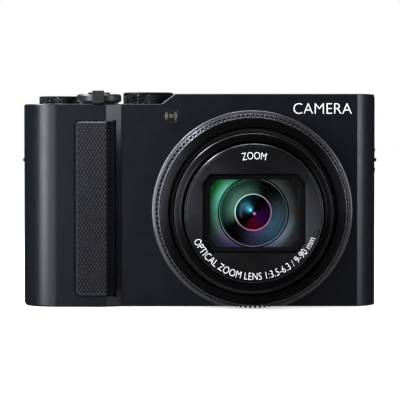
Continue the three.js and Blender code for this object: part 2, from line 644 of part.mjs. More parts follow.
function addTopControls() {
  const modeDial = union(
    cylinderZ(MODE_DIAL.r, [DECK + GAP, MODE_DIAL.top], 0, 0, MEDIUM),
    cylinderZ(MODE_DIAL.shaft, [DECK - DIAL_SHAFT_DEPTH, DECK + 1]),
  );
  addPiece(body, "mode_dial", modeDial, metal(CASING), [MODE_DIAL.x, MODE_DIAL.y, 0]);

  const controlDial = union(
    cylinderZ(CONTROL_DIAL.r, [DECK + GAP, CONTROL_DIAL.top], 0, 0, MEDIUM),
    cylinderZ(CONTROL_DIAL.shaft, [DECK - DIAL_SHAFT_DEPTH, DECK + 1]),
  );
  addPiece(body, "control_dial", controlDial, metal(CASING), [CONTROL_DIAL.x, CONTROL_DIAL.y, 0]);

  const tabFront = LEVER_TAB.front - LEVER.y;
  const tabWidth = LEVER_TAB.width / 2;
  const zoomLever = cut(
    union(
      cylinderZ(LEVER.r, [LEVER.bottom, LEVER.top], 0, 0, MEDIUM),
      cylinderZ(LEVER.hub, [LEVER.hubBottom, LEVER.bottom + 1]),
      box([-tabWidth, tabWidth], [tabFront, LEVER_TAB.overlap - LEVER.r], [LEVER.bottom, LEVER_TAB.top]),
    ),
    cylinderZ(LEVER.bore, [-FAR, FAR]),
  );
  addPiece(body, "zoom_lever", zoomLever, metal(CASING), [LEVER.x, LEVER.y, 0]);

  const shutterButton = union(
    cylinderZ(SHUTTER_BUTTON.r, [SHUTTER_BUTTON.bottom, SHUTTER_BUTTON.top]),
    cylinderZ(SHUTTER_BUTTON.stem, [SHUTTER_BUTTON.stemBottom, SHUTTER_BUTTON.bottom + 1]),
  );
  addPiece(body, "shutter_button", shutterButton, metal(CASING), [LEVER.x, LEVER.y, 0]);

  const movieButton = union(
    cylinderZ(MOVIE_BUTTON.r, [COVER_Z - 1, MOVIE_BUTTON.top]),
    cylinderZ(MOVIE_BUTTON.r + MOVIE_BUTTON.lip, [COVER_Z - COVER_WALL, COVER_Z - GAP]),
  );
  addPiece(body, "movie_button", movieButton, metal(CASING), [MOVIE_BUTTON.x, MOVIE_BUTTON.y, 0]);

  const { halfLength, halfWidth } = POWER;
  const powerSwitch = union(
    box([-halfLength, halfLength], [-halfWidth, halfWidth], [COVER_Z - 1, POWER.top]),
    box(
      [-halfLength - POWER_LIP.x, halfLength + POWER_LIP.x],
      [-halfWidth - POWER_LIP.y, halfWidth + POWER_LIP.y],
      [COVER_Z - COVER_WALL, COVER_Z - GAP],
    ),
  );
  addPiece(body, "power_switch", powerSwitch, plastic(BLACK), [POWER.x - POWER.travel / 2, POWER.y, 0]);
}

function addFlash() {
  const [frontEdge, hingeY] = FLASH_Y;
  const section = new THREE.Shape();
  section.moveTo(hingeY, HUMP);
  section.lineTo(frontEdge, HUMP);
  section.lineTo(frontEdge, FLASH_BOTTOM);
  section.lineTo(hingeY - 1, FLASH_BOTTOM);
  section.lineTo(hingeY, FLASH_PIVOT_Z - FLASH_PIVOT_R);
  section.absarc(hingeY, FLASH_PIVOT_Z, FLASH_PIVOT_R, -Math.PI / 2, Math.PI / 2);
  section.closePath();
  const { ends, front, rear, raise, thickness } = FLASH_WINDOW;
  const windowX = [FLASH_X[0] + ends, FLASH_X[1] - ends];
  const windowY = [frontEdge + front, hingeY - rear];
  const windowZ = [FLASH_BOTTOM + raise, FLASH_BOTTOM + raise + thickness];
  const grow = ([low, high]) => [low - GAP, high + GAP];
  const head = cut(
    prismX(section, FLASH_X),
    cylinderX(FLASH_PIN_R + GAP, [0, FAR], hingeY, FLASH_PIVOT_Z),
    box(grow(windowX), grow(windowY), [0, windowZ[1] + GAP]),
  );
  addPiece(body, "flash_head", head, plastic(CASING));
  addPiece(body, "flash_window", box(windowX, windowY, windowZ), glass(0xdfe3e8, 0.6));
  const pinX = [TRAY.x[0] + PIN_INSET + GAP, TRAY.x[1] - PIN_INSET - GAP];
  const pin = cylinderX(FLASH_PIN_R, pinX, hingeY, FLASH_PIVOT_Z, 16);
  addPiece(body, "flash_hinge_pin", pin, metal(STEEL));
}

function addRearPieces() {
  addPiece(body, "lcd_window", box(SCREEN.x, SCREEN.y, SCREEN.z), glass(0x0c0d10, 0.9));
  const module = box(
    [SCREEN.x[0] + SCREEN_MODULE.insetX, SCREEN.x[1] - SCREEN_MODULE.insetX],
    SCREEN_MODULE.y,
    [SCREEN.z[0] + SCREEN_MODULE.insetZ, SCREEN.z[1] - SCREEN_MODULE.insetZ],
  );
  addPiece(body, "lcd_module", module, metal(0x55585e));

  const around = (halfX, halfZ) => [
    [FINDER.x - halfX, FINDER.x + halfX],
    [FINDER.z - halfZ, FINDER.z + halfZ],
  ];
  const [moduleX, moduleZ] = around(FINDER_MODULE.halfX, FINDER_MODULE.halfZ);
  addPiece(body, "finder_module", box(moduleX, FINDER_MODULE.y, moduleZ), plastic(BLACK));
  const [lensX, lensZ] = around(FINDER.halfX - GAP, FINDER.halfZ - GAP);
  addPiece(body, "eyepiece_lens", box(lensX, FINDER.lensY, lensZ), glass(0x1d2a33, 0.5));

  const eyecup = cut(
    prismY(roundedRectangle(...around(EYECUP.halfX, EYECUP.halfZ), EYECUP.corner), EYECUP.y, 5),
    prismY(roundedRectangle(...around(EYECUP.openX, EYECUP.openZ), EYECUP.corner - 1), [0, FAR], 5),
  );
  addPiece(body, "eyecup", eyecup, plastic(RUBBER_GREY, 0.9));

  const diopterDial = cylinderY(DIOPTER.r, DIOPTER.y);
  addPiece(body, "diopter_dial", diopterDial, plastic(BLACK), [DIOPTER.x, 0, DIOPTER.z]);

  for (const [name, { x, z, r }] of Object.entries(REAR_BUTTONS)) {
    const button = union(
      cylinderY(r, [BUTTON_Y.flange, BUTTON_Y.face]),
      cylinderY(r + BUTTON_Y.lip, [BUTTON_Y.flange, BUTTON_Y.shoulder]),
    );
    addPiece(body, name, button, plastic(BLACK), [x, 0, z]);
  }

  const pad = turnedY(
    [
      [PAD.bore, PAD.y[0]],
      [PAD.r, PAD.y[0]],
      [PAD.r, PAD.y[1]],
      [PAD.bore, PAD.y[1] - PAD.dish],
    ],
    MEDIUM,
  );
  addPiece(body, "cursor_pad", pad, plastic(BLACK), [PAD.x, 0, PAD.z]);

  const { arm, halfWidth } = PIVOT;
  const pivot = cut(
    union(
      box([-arm, arm], PIVOT.y, [-halfWidth, halfWidth]),
      box([-halfWidth, halfWidth], PIVOT.y, [-arm, arm]),
      cylinderY(PIVOT.r, PIVOT.y),
    ),
    cylinderY(PIVOT.bore, [0, FAR]),
  );
  addPiece(body, "cursor_pivot", pivot, plastic(STEEL), [PAD.x, 0, PAD.z]);

  const setButton = union(
    cylinderY(SET_BUTTON.r, SET_BUTTON.y),
    cylinderY(SET_BUTTON.stem, [SET_BUTTON.stemFront, SET_BUTTON.y[0] + 1]),
  );
  addPiece(body, "set_button", setButton, plastic(BLACK), [PAD.x, 0, PAD.z]);
}

function addSidePieces() {
  const lamp = cylinderY(LAMP.r, [FRONT - LAMP.proud, FRONT + WALL]);
  addPiece(body, "af_lamp", lamp, glass(0x8a8580, 0.7), [LAMP.x, 0, LAMP.z]);

  const { y, z, depth, wall } = EYELET;
  const { half: barHalf, depth: barDepth, proud } = EYELET_BAR;
  const middle = (z[0] + z[1]) / 2;
  const eyelet = union(
    cut(
      box([0, depth], y, z),
      box([-1, depth - wall], [y[0] + wall, y[1] - wall], [z[0] + wall, z[1] - wall]),
    ),
    box([-proud, barDepth], y, [middle - barHalf, middle + barHalf]),
  );
  const mirrored = toGeometry(eyelet).rotateZ(Math.PI).translate(0, y[0] + y[1], 0);
  addPiece(body, "strap_eyelet_right", eyelet, metal(CASING), [LEFT, 0, 0]);
  addPiece(body, "strap_eyelet_left", toSolid(mirrored), metal(CASING), [RIGHT, 0, 0]);

  // The port door's front edge is round about its hinge line.
  const half = PORT_DOOR.thickness / 2;
  const portDoor = union(
    box([LEFT, LEFT + PORT_DOOR.thickness], PORT_DOOR.y, PORT_DOOR.z),
    cylinderZ(half, PORT_DOOR.z, LEFT + half, PORT_DOOR.y[0]),
  );
  addPiece(body, "port_door", portDoor, plastic(CASING));
  const portX = [LEFT + PORT_DOOR.thickness + GAP, PORT.inner];
  const tongueX = [portX[0] + PORT_TONGUE.front, PORT.inner - PORT_TONGUE.back];
  const within = ([low, high], inset) => [low + inset, high - inset];
  for (const [name, height] of Object.entries(PORTS)) {
    const socket = box([-FAR, PORT.inner - PORT.back], within(PORT.y, PORT.wall), within(height, PORT.wall));
    const tongue = box(tongueX, PORT_TONGUE.y, within(height, PORT_TONGUE.side));
    addPiece(body, name, union(box(portX, PORT.y, height).subtract(socket), tongue), metal(STEEL));
  }
}

function addInside() {
  const holder = box(...BATTERY_HOLDER).subtract(box(...BATTERY_BAY));
  addPiece(body, "battery_holder", holder, plastic(BLACK));
  addPiece(body, "battery", box(...BATTERY), plastic(0x3a3d44));
  addPiece(body, "memory_card", box(...MEMORY_CARD), plastic(0x20304f));
  addPiece(body, "main_board", box(...MAIN_BOARD), plastic(BOARD_GREEN));
  addPiece(body, "button_board", box(...BUTTON_BOARD), plastic(BOARD_GREEN));
  const capacitor = cylinderZ(CAPACITOR.r, CAPACITOR.z, CAPACITOR.x, CAPACITOR.y);
  addPiece(body, "flash_capacitor", capacitor, metal(BLACK));
}

addCasings();
addTopCover();
addBase();
addLens();
addGlass();
addBarrier();
addTopControls();
addFlash();
addRearPieces();
addSidePieces();
addInside();

export default camera;
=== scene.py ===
"""A compact digital camera: its looks, light and viewpoint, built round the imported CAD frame.

Lengths in this script are millimetres, turned into metres when a mesh is made.
X runs to the right as seen from in front, the lens looks along -Y and Z is up.
"""

import json
import math

import bmesh
import bpy
from mathutils import Matrix, Vector


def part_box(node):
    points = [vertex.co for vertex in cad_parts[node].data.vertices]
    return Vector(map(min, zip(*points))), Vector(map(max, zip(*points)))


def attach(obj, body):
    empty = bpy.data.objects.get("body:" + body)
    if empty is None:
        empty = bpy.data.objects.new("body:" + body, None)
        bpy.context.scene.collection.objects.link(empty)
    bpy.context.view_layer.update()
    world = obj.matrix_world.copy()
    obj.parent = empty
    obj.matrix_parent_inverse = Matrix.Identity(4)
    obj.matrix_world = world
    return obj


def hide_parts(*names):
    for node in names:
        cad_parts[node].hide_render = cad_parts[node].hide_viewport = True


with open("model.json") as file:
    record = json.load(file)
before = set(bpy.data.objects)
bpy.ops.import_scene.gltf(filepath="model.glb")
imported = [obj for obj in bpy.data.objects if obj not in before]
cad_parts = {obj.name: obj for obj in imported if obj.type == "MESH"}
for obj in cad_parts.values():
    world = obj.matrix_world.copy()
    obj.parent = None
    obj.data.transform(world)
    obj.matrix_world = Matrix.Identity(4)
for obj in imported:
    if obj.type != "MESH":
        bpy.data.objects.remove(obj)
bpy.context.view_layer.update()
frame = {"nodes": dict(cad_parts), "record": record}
NODES = frame["nodes"]
MM = 0.001
ROOT = "camera_body"
TAU = 2 * math.pi


def node_box(name):
    """A CAD node's lowest and highest corners, in millimetres."""
    low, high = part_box(name)
    return Vector(low) / MM, Vector(high) / MM


# ---- The body and the material slot of each CAD node ----
BODIES = frame["record"]["behaviour"]["bodies"]
BODY_OF = {node: body for body, members in BODIES.items() for node in members}
SLOT_OF = {entry["node"]: entry["material_slot"] for entry in frame["record"]["subparts"]}

# ---- Dimensions taken from the frame ----
FRONT_LOW, FRONT_HIGH = node_box("front_casing")
RING_LOW, RING_HIGH = node_box("control_ring")
LEFT, RIGHT = FRONT_LOW.x, FRONT_HIGH.x
GRIP_FRONT = FRONT_LOW.y
LENS_X = (RING_LOW.x + RING_HIGH.x) / 2
LENS_Z = (RING_LOW.z + RING_HIGH.z) / 2
HUMP = node_box("top_cover")[1].z
LENS = (LENS_X, LENS_Z)

# ---- Dimensions of the body that the boxes don't give ----
FRONT = -13.0
REAR = 15.0
SEAM = -1.0
WALL = 1.3
DECK = 63.3
COVER_Z = 61.5
SPLIT = 0.12  # visible gap between fixed neighbours
FAR = 99.0  # past the body on any side
GRIP_EDGE_X = -29.25
SLANT_END_X = -24.4
LEFT_FRONT_R = 11.0
RIGHT_FRONT_R = 11.6
RIGHT_FRONT_CENTRE = (43.75, -2.76)
REAR_LEFT_R = 6.0
REAR_RIGHT_R = 4.0
RAMP_X = (-12.0, -7.7)
RAMP_STOPS = [-13.4 + 0.2 * i for i in range(35)]  # close points, so that the wall's top follows the ramp


# ==== Materials ====
NOISE_RANGE = (0.3, 0.7)  # where most values of a noise texture lie
EDGE_LIGHTENING_RANGE = (0.54, 0.64)  # pointiness of edges from unlightened to fully lightened
RING_PITCH = 0.62  # between the fine circles behind a lens element
MIX_FACTOR, MIX_FIRST, MIX_SECOND, MIX_RESULT = 0, 6, 7, 2  # the Mix node's sockets for colours


def feed(tree, node, inputs):
    """Sets each of a node's inputs to a value, or links it to a socket."""
    for key, value in inputs.items():
        if isinstance(value, bpy.types.NodeSocket):
            tree.links.new(value, node.inputs[key])
        else:
            node.inputs[key].default_value = value


def shader_node(tree, kind, inputs=(), **settings):
    """A new shader node with its settings and inputs."""
    made = tree.nodes.new("ShaderNode" + kind)
    for key, value in settings.items():
        setattr(made, key, value)
    feed(tree, made, dict(inputs))
    return made


def mixed(tree, factor, first, second):
    """A blend of two colours."""
    inputs = {MIX_FACTOR: factor, MIX_FIRST: first, MIX_SECOND: second}
    return shader_node(tree, "Mix", inputs, data_type="RGBA").outputs[MIX_RESULT]


def dimmed(colour, factor):
    return tuple(channel * factor for channel in colour)


class Shader:
    """A node material built round one Principled BSDF."""

    def __init__(self, name, colour, roughness, metallic=0.0, **inputs):
        self.material = bpy.data.materials.new(name)
        self.material.use_nodes = True
        self.tree = self.material.node_tree
        self.bsdf = self.tree.nodes["Principled BSDF"]
        self.surface({"Base Color": (*colour, 1), "Roughness": roughness, "Metallic": metallic})
        self.surface({key.replace("_", " "): value for key, value in inputs.items()})
        self.colour = colour
        self.roughness = roughness
        self.bump_from = None

    def surface(self, inputs):
        feed(self.tree, self.bsdf, inputs)

    def node(self, kind, inputs=(), **settings):
        return shader_node(self.tree, kind, inputs, **settings)

    def place(self):
        """Object coordinates, in metres."""
        return self.node("TexCoord").outputs["Object"]

    def noise(self, size, detail=3.0, stretch=(1, 1, 1)):
        """Noise whose features are about size millimetres across."""
        mapping = self.node("Mapping", {"Vector": self.place(), "Scale": stretch})
        inputs = {"Vector": mapping.outputs["Vector"], "Scale": 1 / (size * MM), "Detail": detail}
        return self.node("TexNoise", inputs).outputs["Fac"]

    def remap(self, value, start, end, low=0.0, high=1.0, **settings):
        """Maps start to end of a value on to low to high."""
        inputs = {"Value": value, "From Min": start, "From Max": end, "To Min": low, "To Max": high}
        return self.node("MapRange", inputs, **settings).outputs["Result"]

    def vector(self, operation, *inputs, output="Vector"):
        return self.node("VectorMath", enumerate(inputs), operation=operation).outputs[output]

    def scaled(self, colour, factor):
        """A colour times a value socket."""
        return self.node("VectorMath", {0: colour, "Scale": factor}, operation="SCALE").outputs["Vector"]

    def ramp(self, value, stops):
        """A colour ramp through (position, colour) stops."""
        made = self.node("ValToRGB", {"Fac": value})
        elements = made.color_ramp.elements
        for element, (position, colour) in zip(elements, (stops[0], stops[-1])):
            element.position = position
            element.color = (*colour, 1)
        for position, colour in stops[1:-1]:
            elements.new(position).color = (*colour, 1)
        return made.outputs["Color"]

    def vary_colour(self, size, amount):
        """Makes the colour lighter and darker by a share of itself."""
        share = self.remap(self.noise(size), *NOISE_RANGE)
        stops = [(0, dimmed(self.colour, 1 - amount)), (1, dimmed(self.colour, 1 + amount))]
        self.surface({"Base Color": self.ramp(share, stops)})

    def vary_roughness(self, size, amount):
        low, high = self.roughness - amount, self.roughness + amount
        self.surface({"Roughness": self.remap(self.noise(size), *NOISE_RANGE, low, high)})

    def bump(self, size, detail, depth, stretch=(1, 1, 1)):
        """Adds a bump of a size and a depth in millimetres on top of any earlier one."""
        inputs = {"Distance": depth * MM, "Height": self.noise(size, detail, stretch)}
        if self.bump_from:
            inputs["Normal"] = self.bump_from
        self.bump_from = self.node("Bump", inputs).outputs["Normal"]
        self.surface({"Normal": self.bump_from})

    def uneven(self, tones, patches, *bumps):
        """Varies the colour and the roughness, each by (size, amount), and adds bumps."""
        self.vary_colour(*tones)
        self.vary_roughness(*patches)
        for bump in bumps:
            self.bump(*bump)
        return self

    def wear_and_glint_edges(self, colour):
        """Lightens sharp convex edges: wear where the finish rubs off, and with a near-white colour painted
        glints.
        """
        wear = self.remap(self.node("NewGeometry").outputs["Pointiness"], *EDGE_LIGHTENING_RANGE)
        base = self.bsdf.inputs["Base Color"].links[0].from_socket
        self.surface({"Base Color": mixed(self.tree, wear, base, (*colour, 1))})

    def turned(self, amount, axis):
        """The stretched reflections of a face turned on a lathe."""
        tangent = self.node("Tangent", direction_type="RADIAL", axis=axis).outputs["Tangent"]
        self.surface({"Anisotropic": amount, "Anisotropic Rotation": 0.25, "Tangent": tangent})


def casing_coat():
    shader = Shader("casing_coat", (0.0036, 0.0040, 0.0066), 0.31, Specular_IOR_Level=0.5)
    return shader.uneven((6, 0.08), (3, 0.03), (0.22, 2, 0.006), (0.07, 1, 0.003)).material


def rubber(name="grip_rubber", tone=0.0045, shine=0.17, roughness=0.6):
    shader = Shader(name, (tone, tone, tone * 1.2), roughness, Specular_IOR_Level=shine)
    return shader.uneven((2.5, 0.12), (1.2, 0.06), (0.12, 2, 0.01)).material


def anodised(name, tone, roughness, turned=0.0, axis="Y", metallic=0.85, edge_wear_and_glint=0.0):
    shader = Shader(name, (tone, tone, tone * 1.06), roughness, metallic)
    shader.uneven((4, 0.1), (0.9, 0.03), (0.1, 2, 0.0025))
    if turned:
        shader.turned(turned, axis)
    if edge_wear_and_glint:
        shader.wear_and_glint_edges((tone * edge_wear_and_glint,) * 3)
    return shader.material


def plastic(name, tone=0.014, roughness=0.5, shine=0.5):
    shader = Shader(name, (tone, tone, tone * 1.05), roughness, Specular_IOR_Level=shine)
    return shader.uneven((3, 0.12), (1.5, 0.04), (0.16, 2, 0.006)).material


def gloss(name, colour, roughness=0.08):
    shader = Shader(name, colour, roughness, Coat_Weight=0.6, Coat_Roughness=0.03)
    return shader.uneven((8, 0.06), (12, 0.02)).material


def bare_metal(name, colour, roughness=0.3):
    shader = Shader(name, colour, roughness, 1.0)
    return shader.uneven((2, 0.05), (0.5, 0.06), (0.08, 2, 0.002, (8, 1, 1))).material


def ink(name, colour):
    shader = Shader(name, colour, 0.5, Specular_IOR_Level=0.3)
    return shader.uneven((0.8, 0.05), (0.6, 0.05)).material


def circuit_board():
    return Shader("circuit_board", (0.012, 0.075, 0.032), 0.35).uneven((1.4, 0.35), (0.7, 0.08)).material


def wrap(name, colour):
    return Shader(name, colour, 0.4).uneven((5, 0.1), (2, 0.05), (0.3, 2, 0.004)).material


def coated(name, inner, outer, radii, rings=0.0, glints=(), roughness=0.35):
    """Coated glass over a dark cell, with painted reflections of the lights in its coatings, which also glow
    a little. Their colours go round the lens axis by degrees and change with radius.

    glints are painted glints, as (x, z, radius, colour) spots, and rings is the depth of the fine dark
    circles in the painted reflections."""
    shader = Shader(name, (0, 0, 0), roughness, Specular_IOR_Level=0.3, Emission_Strength=0.3)
    split = shader.node("SeparateXYZ", {"Vector": shader.place()}).outputs
    flat = shader.node("CombineXYZ", {"X": split["X"], "Y": split["Z"]})
    spot = shader.vector("SUBTRACT", flat.outputs["Vector"], (LENS_X * MM, LENS_Z * MM, 0))
    angle = shader.node("TexGradient", {"Vector": spot}, gradient_type="RADIAL").outputs["Fac"]
    colours = []
    for reflected_colours in (inner, outer):
        around = sorted(reflected_colours)
        around.insert(0, (-180, around[-1][1]))
        colours.append(shader.ramp(angle, [((degrees + 180) / 360, colour) for degrees, colour in around]))
    radius = shader.vector("LENGTH", spot, output="Value")
    blend = shader.remap(radius, radii[0] * MM, radii[1] * MM, interpolation_type="SMOOTHSTEP")
    total = mixed(shader.tree, blend, *colours)
    if rings:
        turns = shader.node("Math", {0: radius, 1: TAU / (RING_PITCH * MM)}, operation="MULTIPLY")
        wave = shader.node("Math", {0: turns.outputs["Value"]}, operation="SINE").outputs["Value"]
        total = shader.scaled(total, shader.remap(wave, -1, 1, 1 - rings, 1))
    for x, z, size, colour in glints:
        away = shader.vector("DISTANCE", spot, (x * MM, z * MM, 0), output="Value")
        fade = shader.remap(away, size * MM, 0, interpolation_type="SMOOTHSTEP")
        total = shader.vector("ADD", total, shader.scaled(colour, fade))
    # The painted reflections go into the base colour and, through the emission, glow a little
    shader.surface({"Base Color": total, "Emission Color": total})
    return shader.material


def clear_glass(name):
    """Clear coated glass: see-through, with reflections that grow towards its edges."""
    shader = Shader(name, (0.004, 0.005, 0.006), 0.1, Specular_IOR_Level=0.25)
    shader.vary_roughness(4, 0.01)
    facing = shader.node("LayerWeight", {"Blend": 0.25}).outputs["Fresnel"]
    clear = shader.node("BsdfTransparent", {"Color": (0.97, 0.99, 0.98, 1)}).outputs["BSDF"]
    inputs = {"Fac": shader.remap(facing, 0, 1, 0.04, 0.9), 1: clear, 2: shader.bsdf.outputs["BSDF"]}
    mix = shader.node("MixShader", inputs)
    feed(shader.tree, shader.tree.nodes["Material Output"], {"Surface": mix.outputs["Shader"]})
    return shader.material


# Painted reflections: colours that the coatings throw back, painted into the lens glass
UNLIT = (0.0, 0.0, 0.0)
MINT = (0.155, 0.62, 0.43)
LEAF = (0.0, 0.17, 0.03)
SAGE = (0.1, 0.23, 0.18)
PINE = (0.014, 0.1, 0.058)
CYAN = (0.015, 0.17, 0.29)
DENIM = (0.02, 0.08, 0.14)
INDIGO = (0.06, 0.045, 0.135)
VIOLET = (0.08, 0.055, 0.175)
PURPLE = (0.035, 0.0, 0.048)
CRIMSON = (0.125, 0.0, 0.015)
ROSE = (0.55, 0.19, 0.36)
MAUVE = (0.3, 0.2, 0.31)
ICE = (0.75, 1.05, 0.95)
HAZE = (0.19, 0.26, 0.35)
LILAC = (0.155, 0.17, 0.29)
DUSK = (0.14, 0.12, 0.2)
PEARL = (0.33, 0.32, 0.38)
SMOKE = (0.06, 0.06, 0.065)

# Where the painted reflections lie, as (degrees round the lens axis from the right, colour): green up to the
# left, blue and violet low down, as a coated element turns them under a light from the left
CELL_INNER = [
    (180, dimmed(SAGE, 0.85)), (150, SAGE), (120, dimmed(SAGE, 0.6)), (65, UNLIT), (35, UNLIT),
    (-35, DENIM), (-75, INDIGO), (-115, dimmed(INDIGO, 0.1)), (-150, UNLIT),
]
CELL_OUTER = [
    (180, dimmed(PINE, 0.7)), (140, PINE), (70, UNLIT), (35, UNLIT), (-45, DENIM),
    (-90, dimmed(INDIGO, 0.5)), (-120, UNLIT), (-150, UNLIT),
]
FACE_INNER = [
    (180, dimmed(MINT, 0.45)), (155, MINT), (137, dimmed(MINT, 0.9)), (115, LEAF), (75, dimmed(LEAF, 0.35)),
    (50, SMOKE), (0, SMOKE), (-40, HAZE), (-62, LILAC), (-95, VIOLET), (-120, VIOLET), (-145, DUSK),
]
FACE_OUTER = [
    (180, dimmed(LEAF, 0.35)), (135, dimmed(LEAF, 0.9)), (85, dimmed(LEAF, 0.2)),
    (60, dimmed(SMOKE, 0.25)), (0, dimmed(SMOKE, 0.2)), (-45, dimmed(SMOKE, 0.8)),
    (-90, dimmed(VIOLET, 0.3)), (-130, dimmed(VIOLET, 0.6)), (-165, dimmed(LEAF, 0.25)),
]
CORE_INNER = [
    (180, dimmed(CYAN, 0.4)), (140, CYAN), (95, dimmed(CYAN, 0.2)), (60, UNLIT), (20, UNLIT),
    (-45, PURPLE), (-90, dimmed(PURPLE, 0.2)), (-135, UNLIT),
]
CORE_OUTER = [
    (180, dimmed(CYAN, 0.2)), (145, dimmed(CYAN, 0.4)), (95, dimmed(CYAN, 0.06)), (50, UNLIT),
    (-35, PURPLE), (-95, CRIMSON), (-125, UNLIT), (-160, UNLIT),
]
RIM_REFLECTIONS = [(180, ICE), (105, dimmed(ICE, 0.65)), (45, MAUVE), (0, MAUVE), (-80, ROSE), (-135, MAUVE)]
EDGE_REFLECTIONS = [
    (180, dimmed(MINT, 0.5)), (130, dimmed(SAGE, 0.75)), (60, dimmed(SMOKE, 1.9)), (0, dimmed(SMOKE, 1.8)),
    (-65, PEARL), (-135, dimmed(PEARL, 0.9)),
]
# Painted glints: small bright spots in the middle, as (x, z, radius, colour)
CORE_GLINTS = [
    (-0.75, 0.55, 0.62, (0.3, 0.8, 1.05)),
    (-1.0, 0.8, 1.5, (0.07, 0.26, 0.36)),
    (-1.9, 1.7, 2.2, (0.03, 0.12, 0.17)),
    (0.45, -0.52, 0.62, (0.75, 0.34, 0.9)),
]

MATERIALS = {
    "casing": casing_coat(),
    "grip": rubber(),
    "collar": anodised("collar_metal", 0.17, 0.36, 0.4),
    "control_ring": anodised("control_ring_metal", 0.038, 0.33, 0.95, metallic=0.95),
    "barrel": anodised("barrel_metal", 0.036, 0.36, 0.95, metallic=0.95),
    "name_ring": anodised("name_ring_metal", 0.047, 0.4, 0.8, metallic=0.93),
    # The dial's edges and knurl points are lightened nearly to white: painted glints, besides wear
    "dial": anodised("dial_metal", 0.02, 0.26, 0.0, "Z", edge_wear_and_glint=40),
    "button": anodised("button_metal", 0.045, 0.34, 0.4, "Z", edge_wear_and_glint=2.2),
    "black_plastic": plastic("black_plastic"),
    "gloss_black": gloss("gloss_black", (0.006, 0.006, 0.007)),
    "lens_glass": clear_glass("coated_lens_glass"),
    "screen": gloss("screen_window", (0.004, 0.004, 0.005), 0.06),
    # Light grey: the lamp's emitter dies, and its arcs, which are painted highlights
    "lamp_window": gloss("lamp_window", (0.12, 0.11, 0.1), 0.3),
    "flash_window": gloss("flash_window", (0.6, 0.62, 0.66), 0.12),
    "steel": bare_metal("steel", (0.5, 0.5, 0.52)),
    "nickel": bare_metal("nickel", (0.6, 0.58, 0.55), 0.2),
    "board": circuit_board(),
    "sensor": gloss("sensor_cover", (0.03, 0.04, 0.08), 0.05),
    "battery_wrap": wrap("battery_wrap", (0.05, 0.055, 0.07)),
    "card": wrap("card_shell", (0.02, 0.04, 0.1)),
    "eyecup": rubber("eyecup_rubber", 0.014, 0.25),
}
# Painted reflections and glints of the lens's coatings, which also glow a little
INNER_GLASS = coated("second_lens_glass_painted_reflections", CORE_INNER, CORE_OUTER, (0.8, 3.2), 0.6, CORE_GLINTS, 0.1)
FACE_PAINTED_REFLECTIONS = coated("coated_face_painted_reflections", FACE_INNER, FACE_OUTER, (10.8, 14.2))
CELL_PAINTED_REFLECTIONS = coated("coated_cell_painted_reflections", CELL_INNER, CELL_OUTER, (6.4, 9.0), 0.3)
EDGE_GLASS = coated("front_cell_edge_painted_reflections", EDGE_REFLECTIONS, EDGE_REFLECTIONS, (9, 11))
RIM_GLASS = coated("rear_cell_edge_painted_reflections", RIM_REFLECTIONS, RIM_REFLECTIONS, (4, 6))
WHITE_INK = ink("white_ink", (0.82, 0.83, 0.84))
RED_INK = ink("red_ink", (0.5, 0.02, 0.02))
# A darker, duller copy of the rubber for the grip's side: painted shade
RUBBER_SIDE_PAINTED_SHADE = rubber("grip_rubber_side_painted_shade", 0.0015, 0.03)
# A darker copy of the rubber for the grooves between the diamonds: painted shade
RUBBER_GROOVE_PAINTED_SHADE = rubber("grip_rubber_groove_painted_shade", 0.0025, 0.08)
# A lighter, shinier copy of the rubber for the upper lip: painted highlight
RUBBER_LIP_PAINTED_HIGHLIGHT = rubber("grip_rubber_lip_painted_highlight", 0.008, 0.32, 0.44)
RIM_LINE = anodised("bright_rim", 0.17, 0.22)
BARREL_RIM = anodised("barrel_rim", 0.065, 0.27)
DIAL_FACE = anodised("dial_face", 0.02, 0.3, 0.4, "Z")
LEVER_COAT = plastic("lever_coat", 0.013, 0.36)
TOOTH_METAL = anodised("tooth_metal", 0.06, 0.4, 0.5)
LAMP_SKIN = plastic("lamp_skin", 0.006, 0.3)
BLADE_COAT = anodised("barrier_metal", 0.022, 0.42)
# Near-black matte: the barrier frame's and the cell gap's own black, and painted shade on the collar behind
# the teeth and on the name ring's inner wall
BLACK_AND_PAINTED_SHADE = plastic("matte_black_and_painted_shade", 0.002, 0.6, 0.12)


# ==== Mesh tools ====
AXLE = 0.01  # where a turned profile meets its axis
SHARP = 32.0  # degrees past which an edge is shaded sharp
HARD_ANGLE = 35.0  # the same for a piece with bevelled edges
STRAIGHT = 1.57  # half the angle between a corner's sides, in radians, when there is nothing to round


def piece(name, mesh, body=ROOT, slot=None, material=None):
    """Links a mesh as a finished piece that rides on a body.

    A piece called NODE_fine takes the body and slot of that CAD node and stands in for it."""
    made = bpy.data.objects.new(name, mesh)
    mesh.name = name
    bpy.context.scene.collection.objects.link(made)
    node = name.removesuffix("_fine")
    stands_in = node != name
    if stands_in:
        body, slot = BODY_OF[node], SLOT_OF[node]
    mesh.materials.append(material or MATERIALS[slot])
    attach(made, body)
    if stands_in:
        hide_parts(node)
    return made


def smooth_mesh(bm, sharp=SHARP):
    """Turns a bmesh in millimetres into a smooth-shaded mesh in metres with sharp edges by angle."""
    bmesh.ops.remove_doubles(bm, verts=bm.verts, dist=1e-4)
    bmesh.ops.dissolve_degenerate(bm, edges=bm.edges, dist=1e-5)
    bmesh.ops.recalc_face_normals(bm, faces=bm.faces)
    bmesh.ops.scale(bm, vec=(MM, MM, MM), verts=bm.verts)
    limit = math.radians(sharp)
    for edge in bm.edges:
        edge.smooth = edge.is_manifold and edge.calc_face_angle(0.0) < limit
    for face in bm.faces:
        face.smooth = True
    mesh = bpy.data.meshes.new("mesh")
    bm.to_mesh(mesh)
    bm.free()
    return mesh


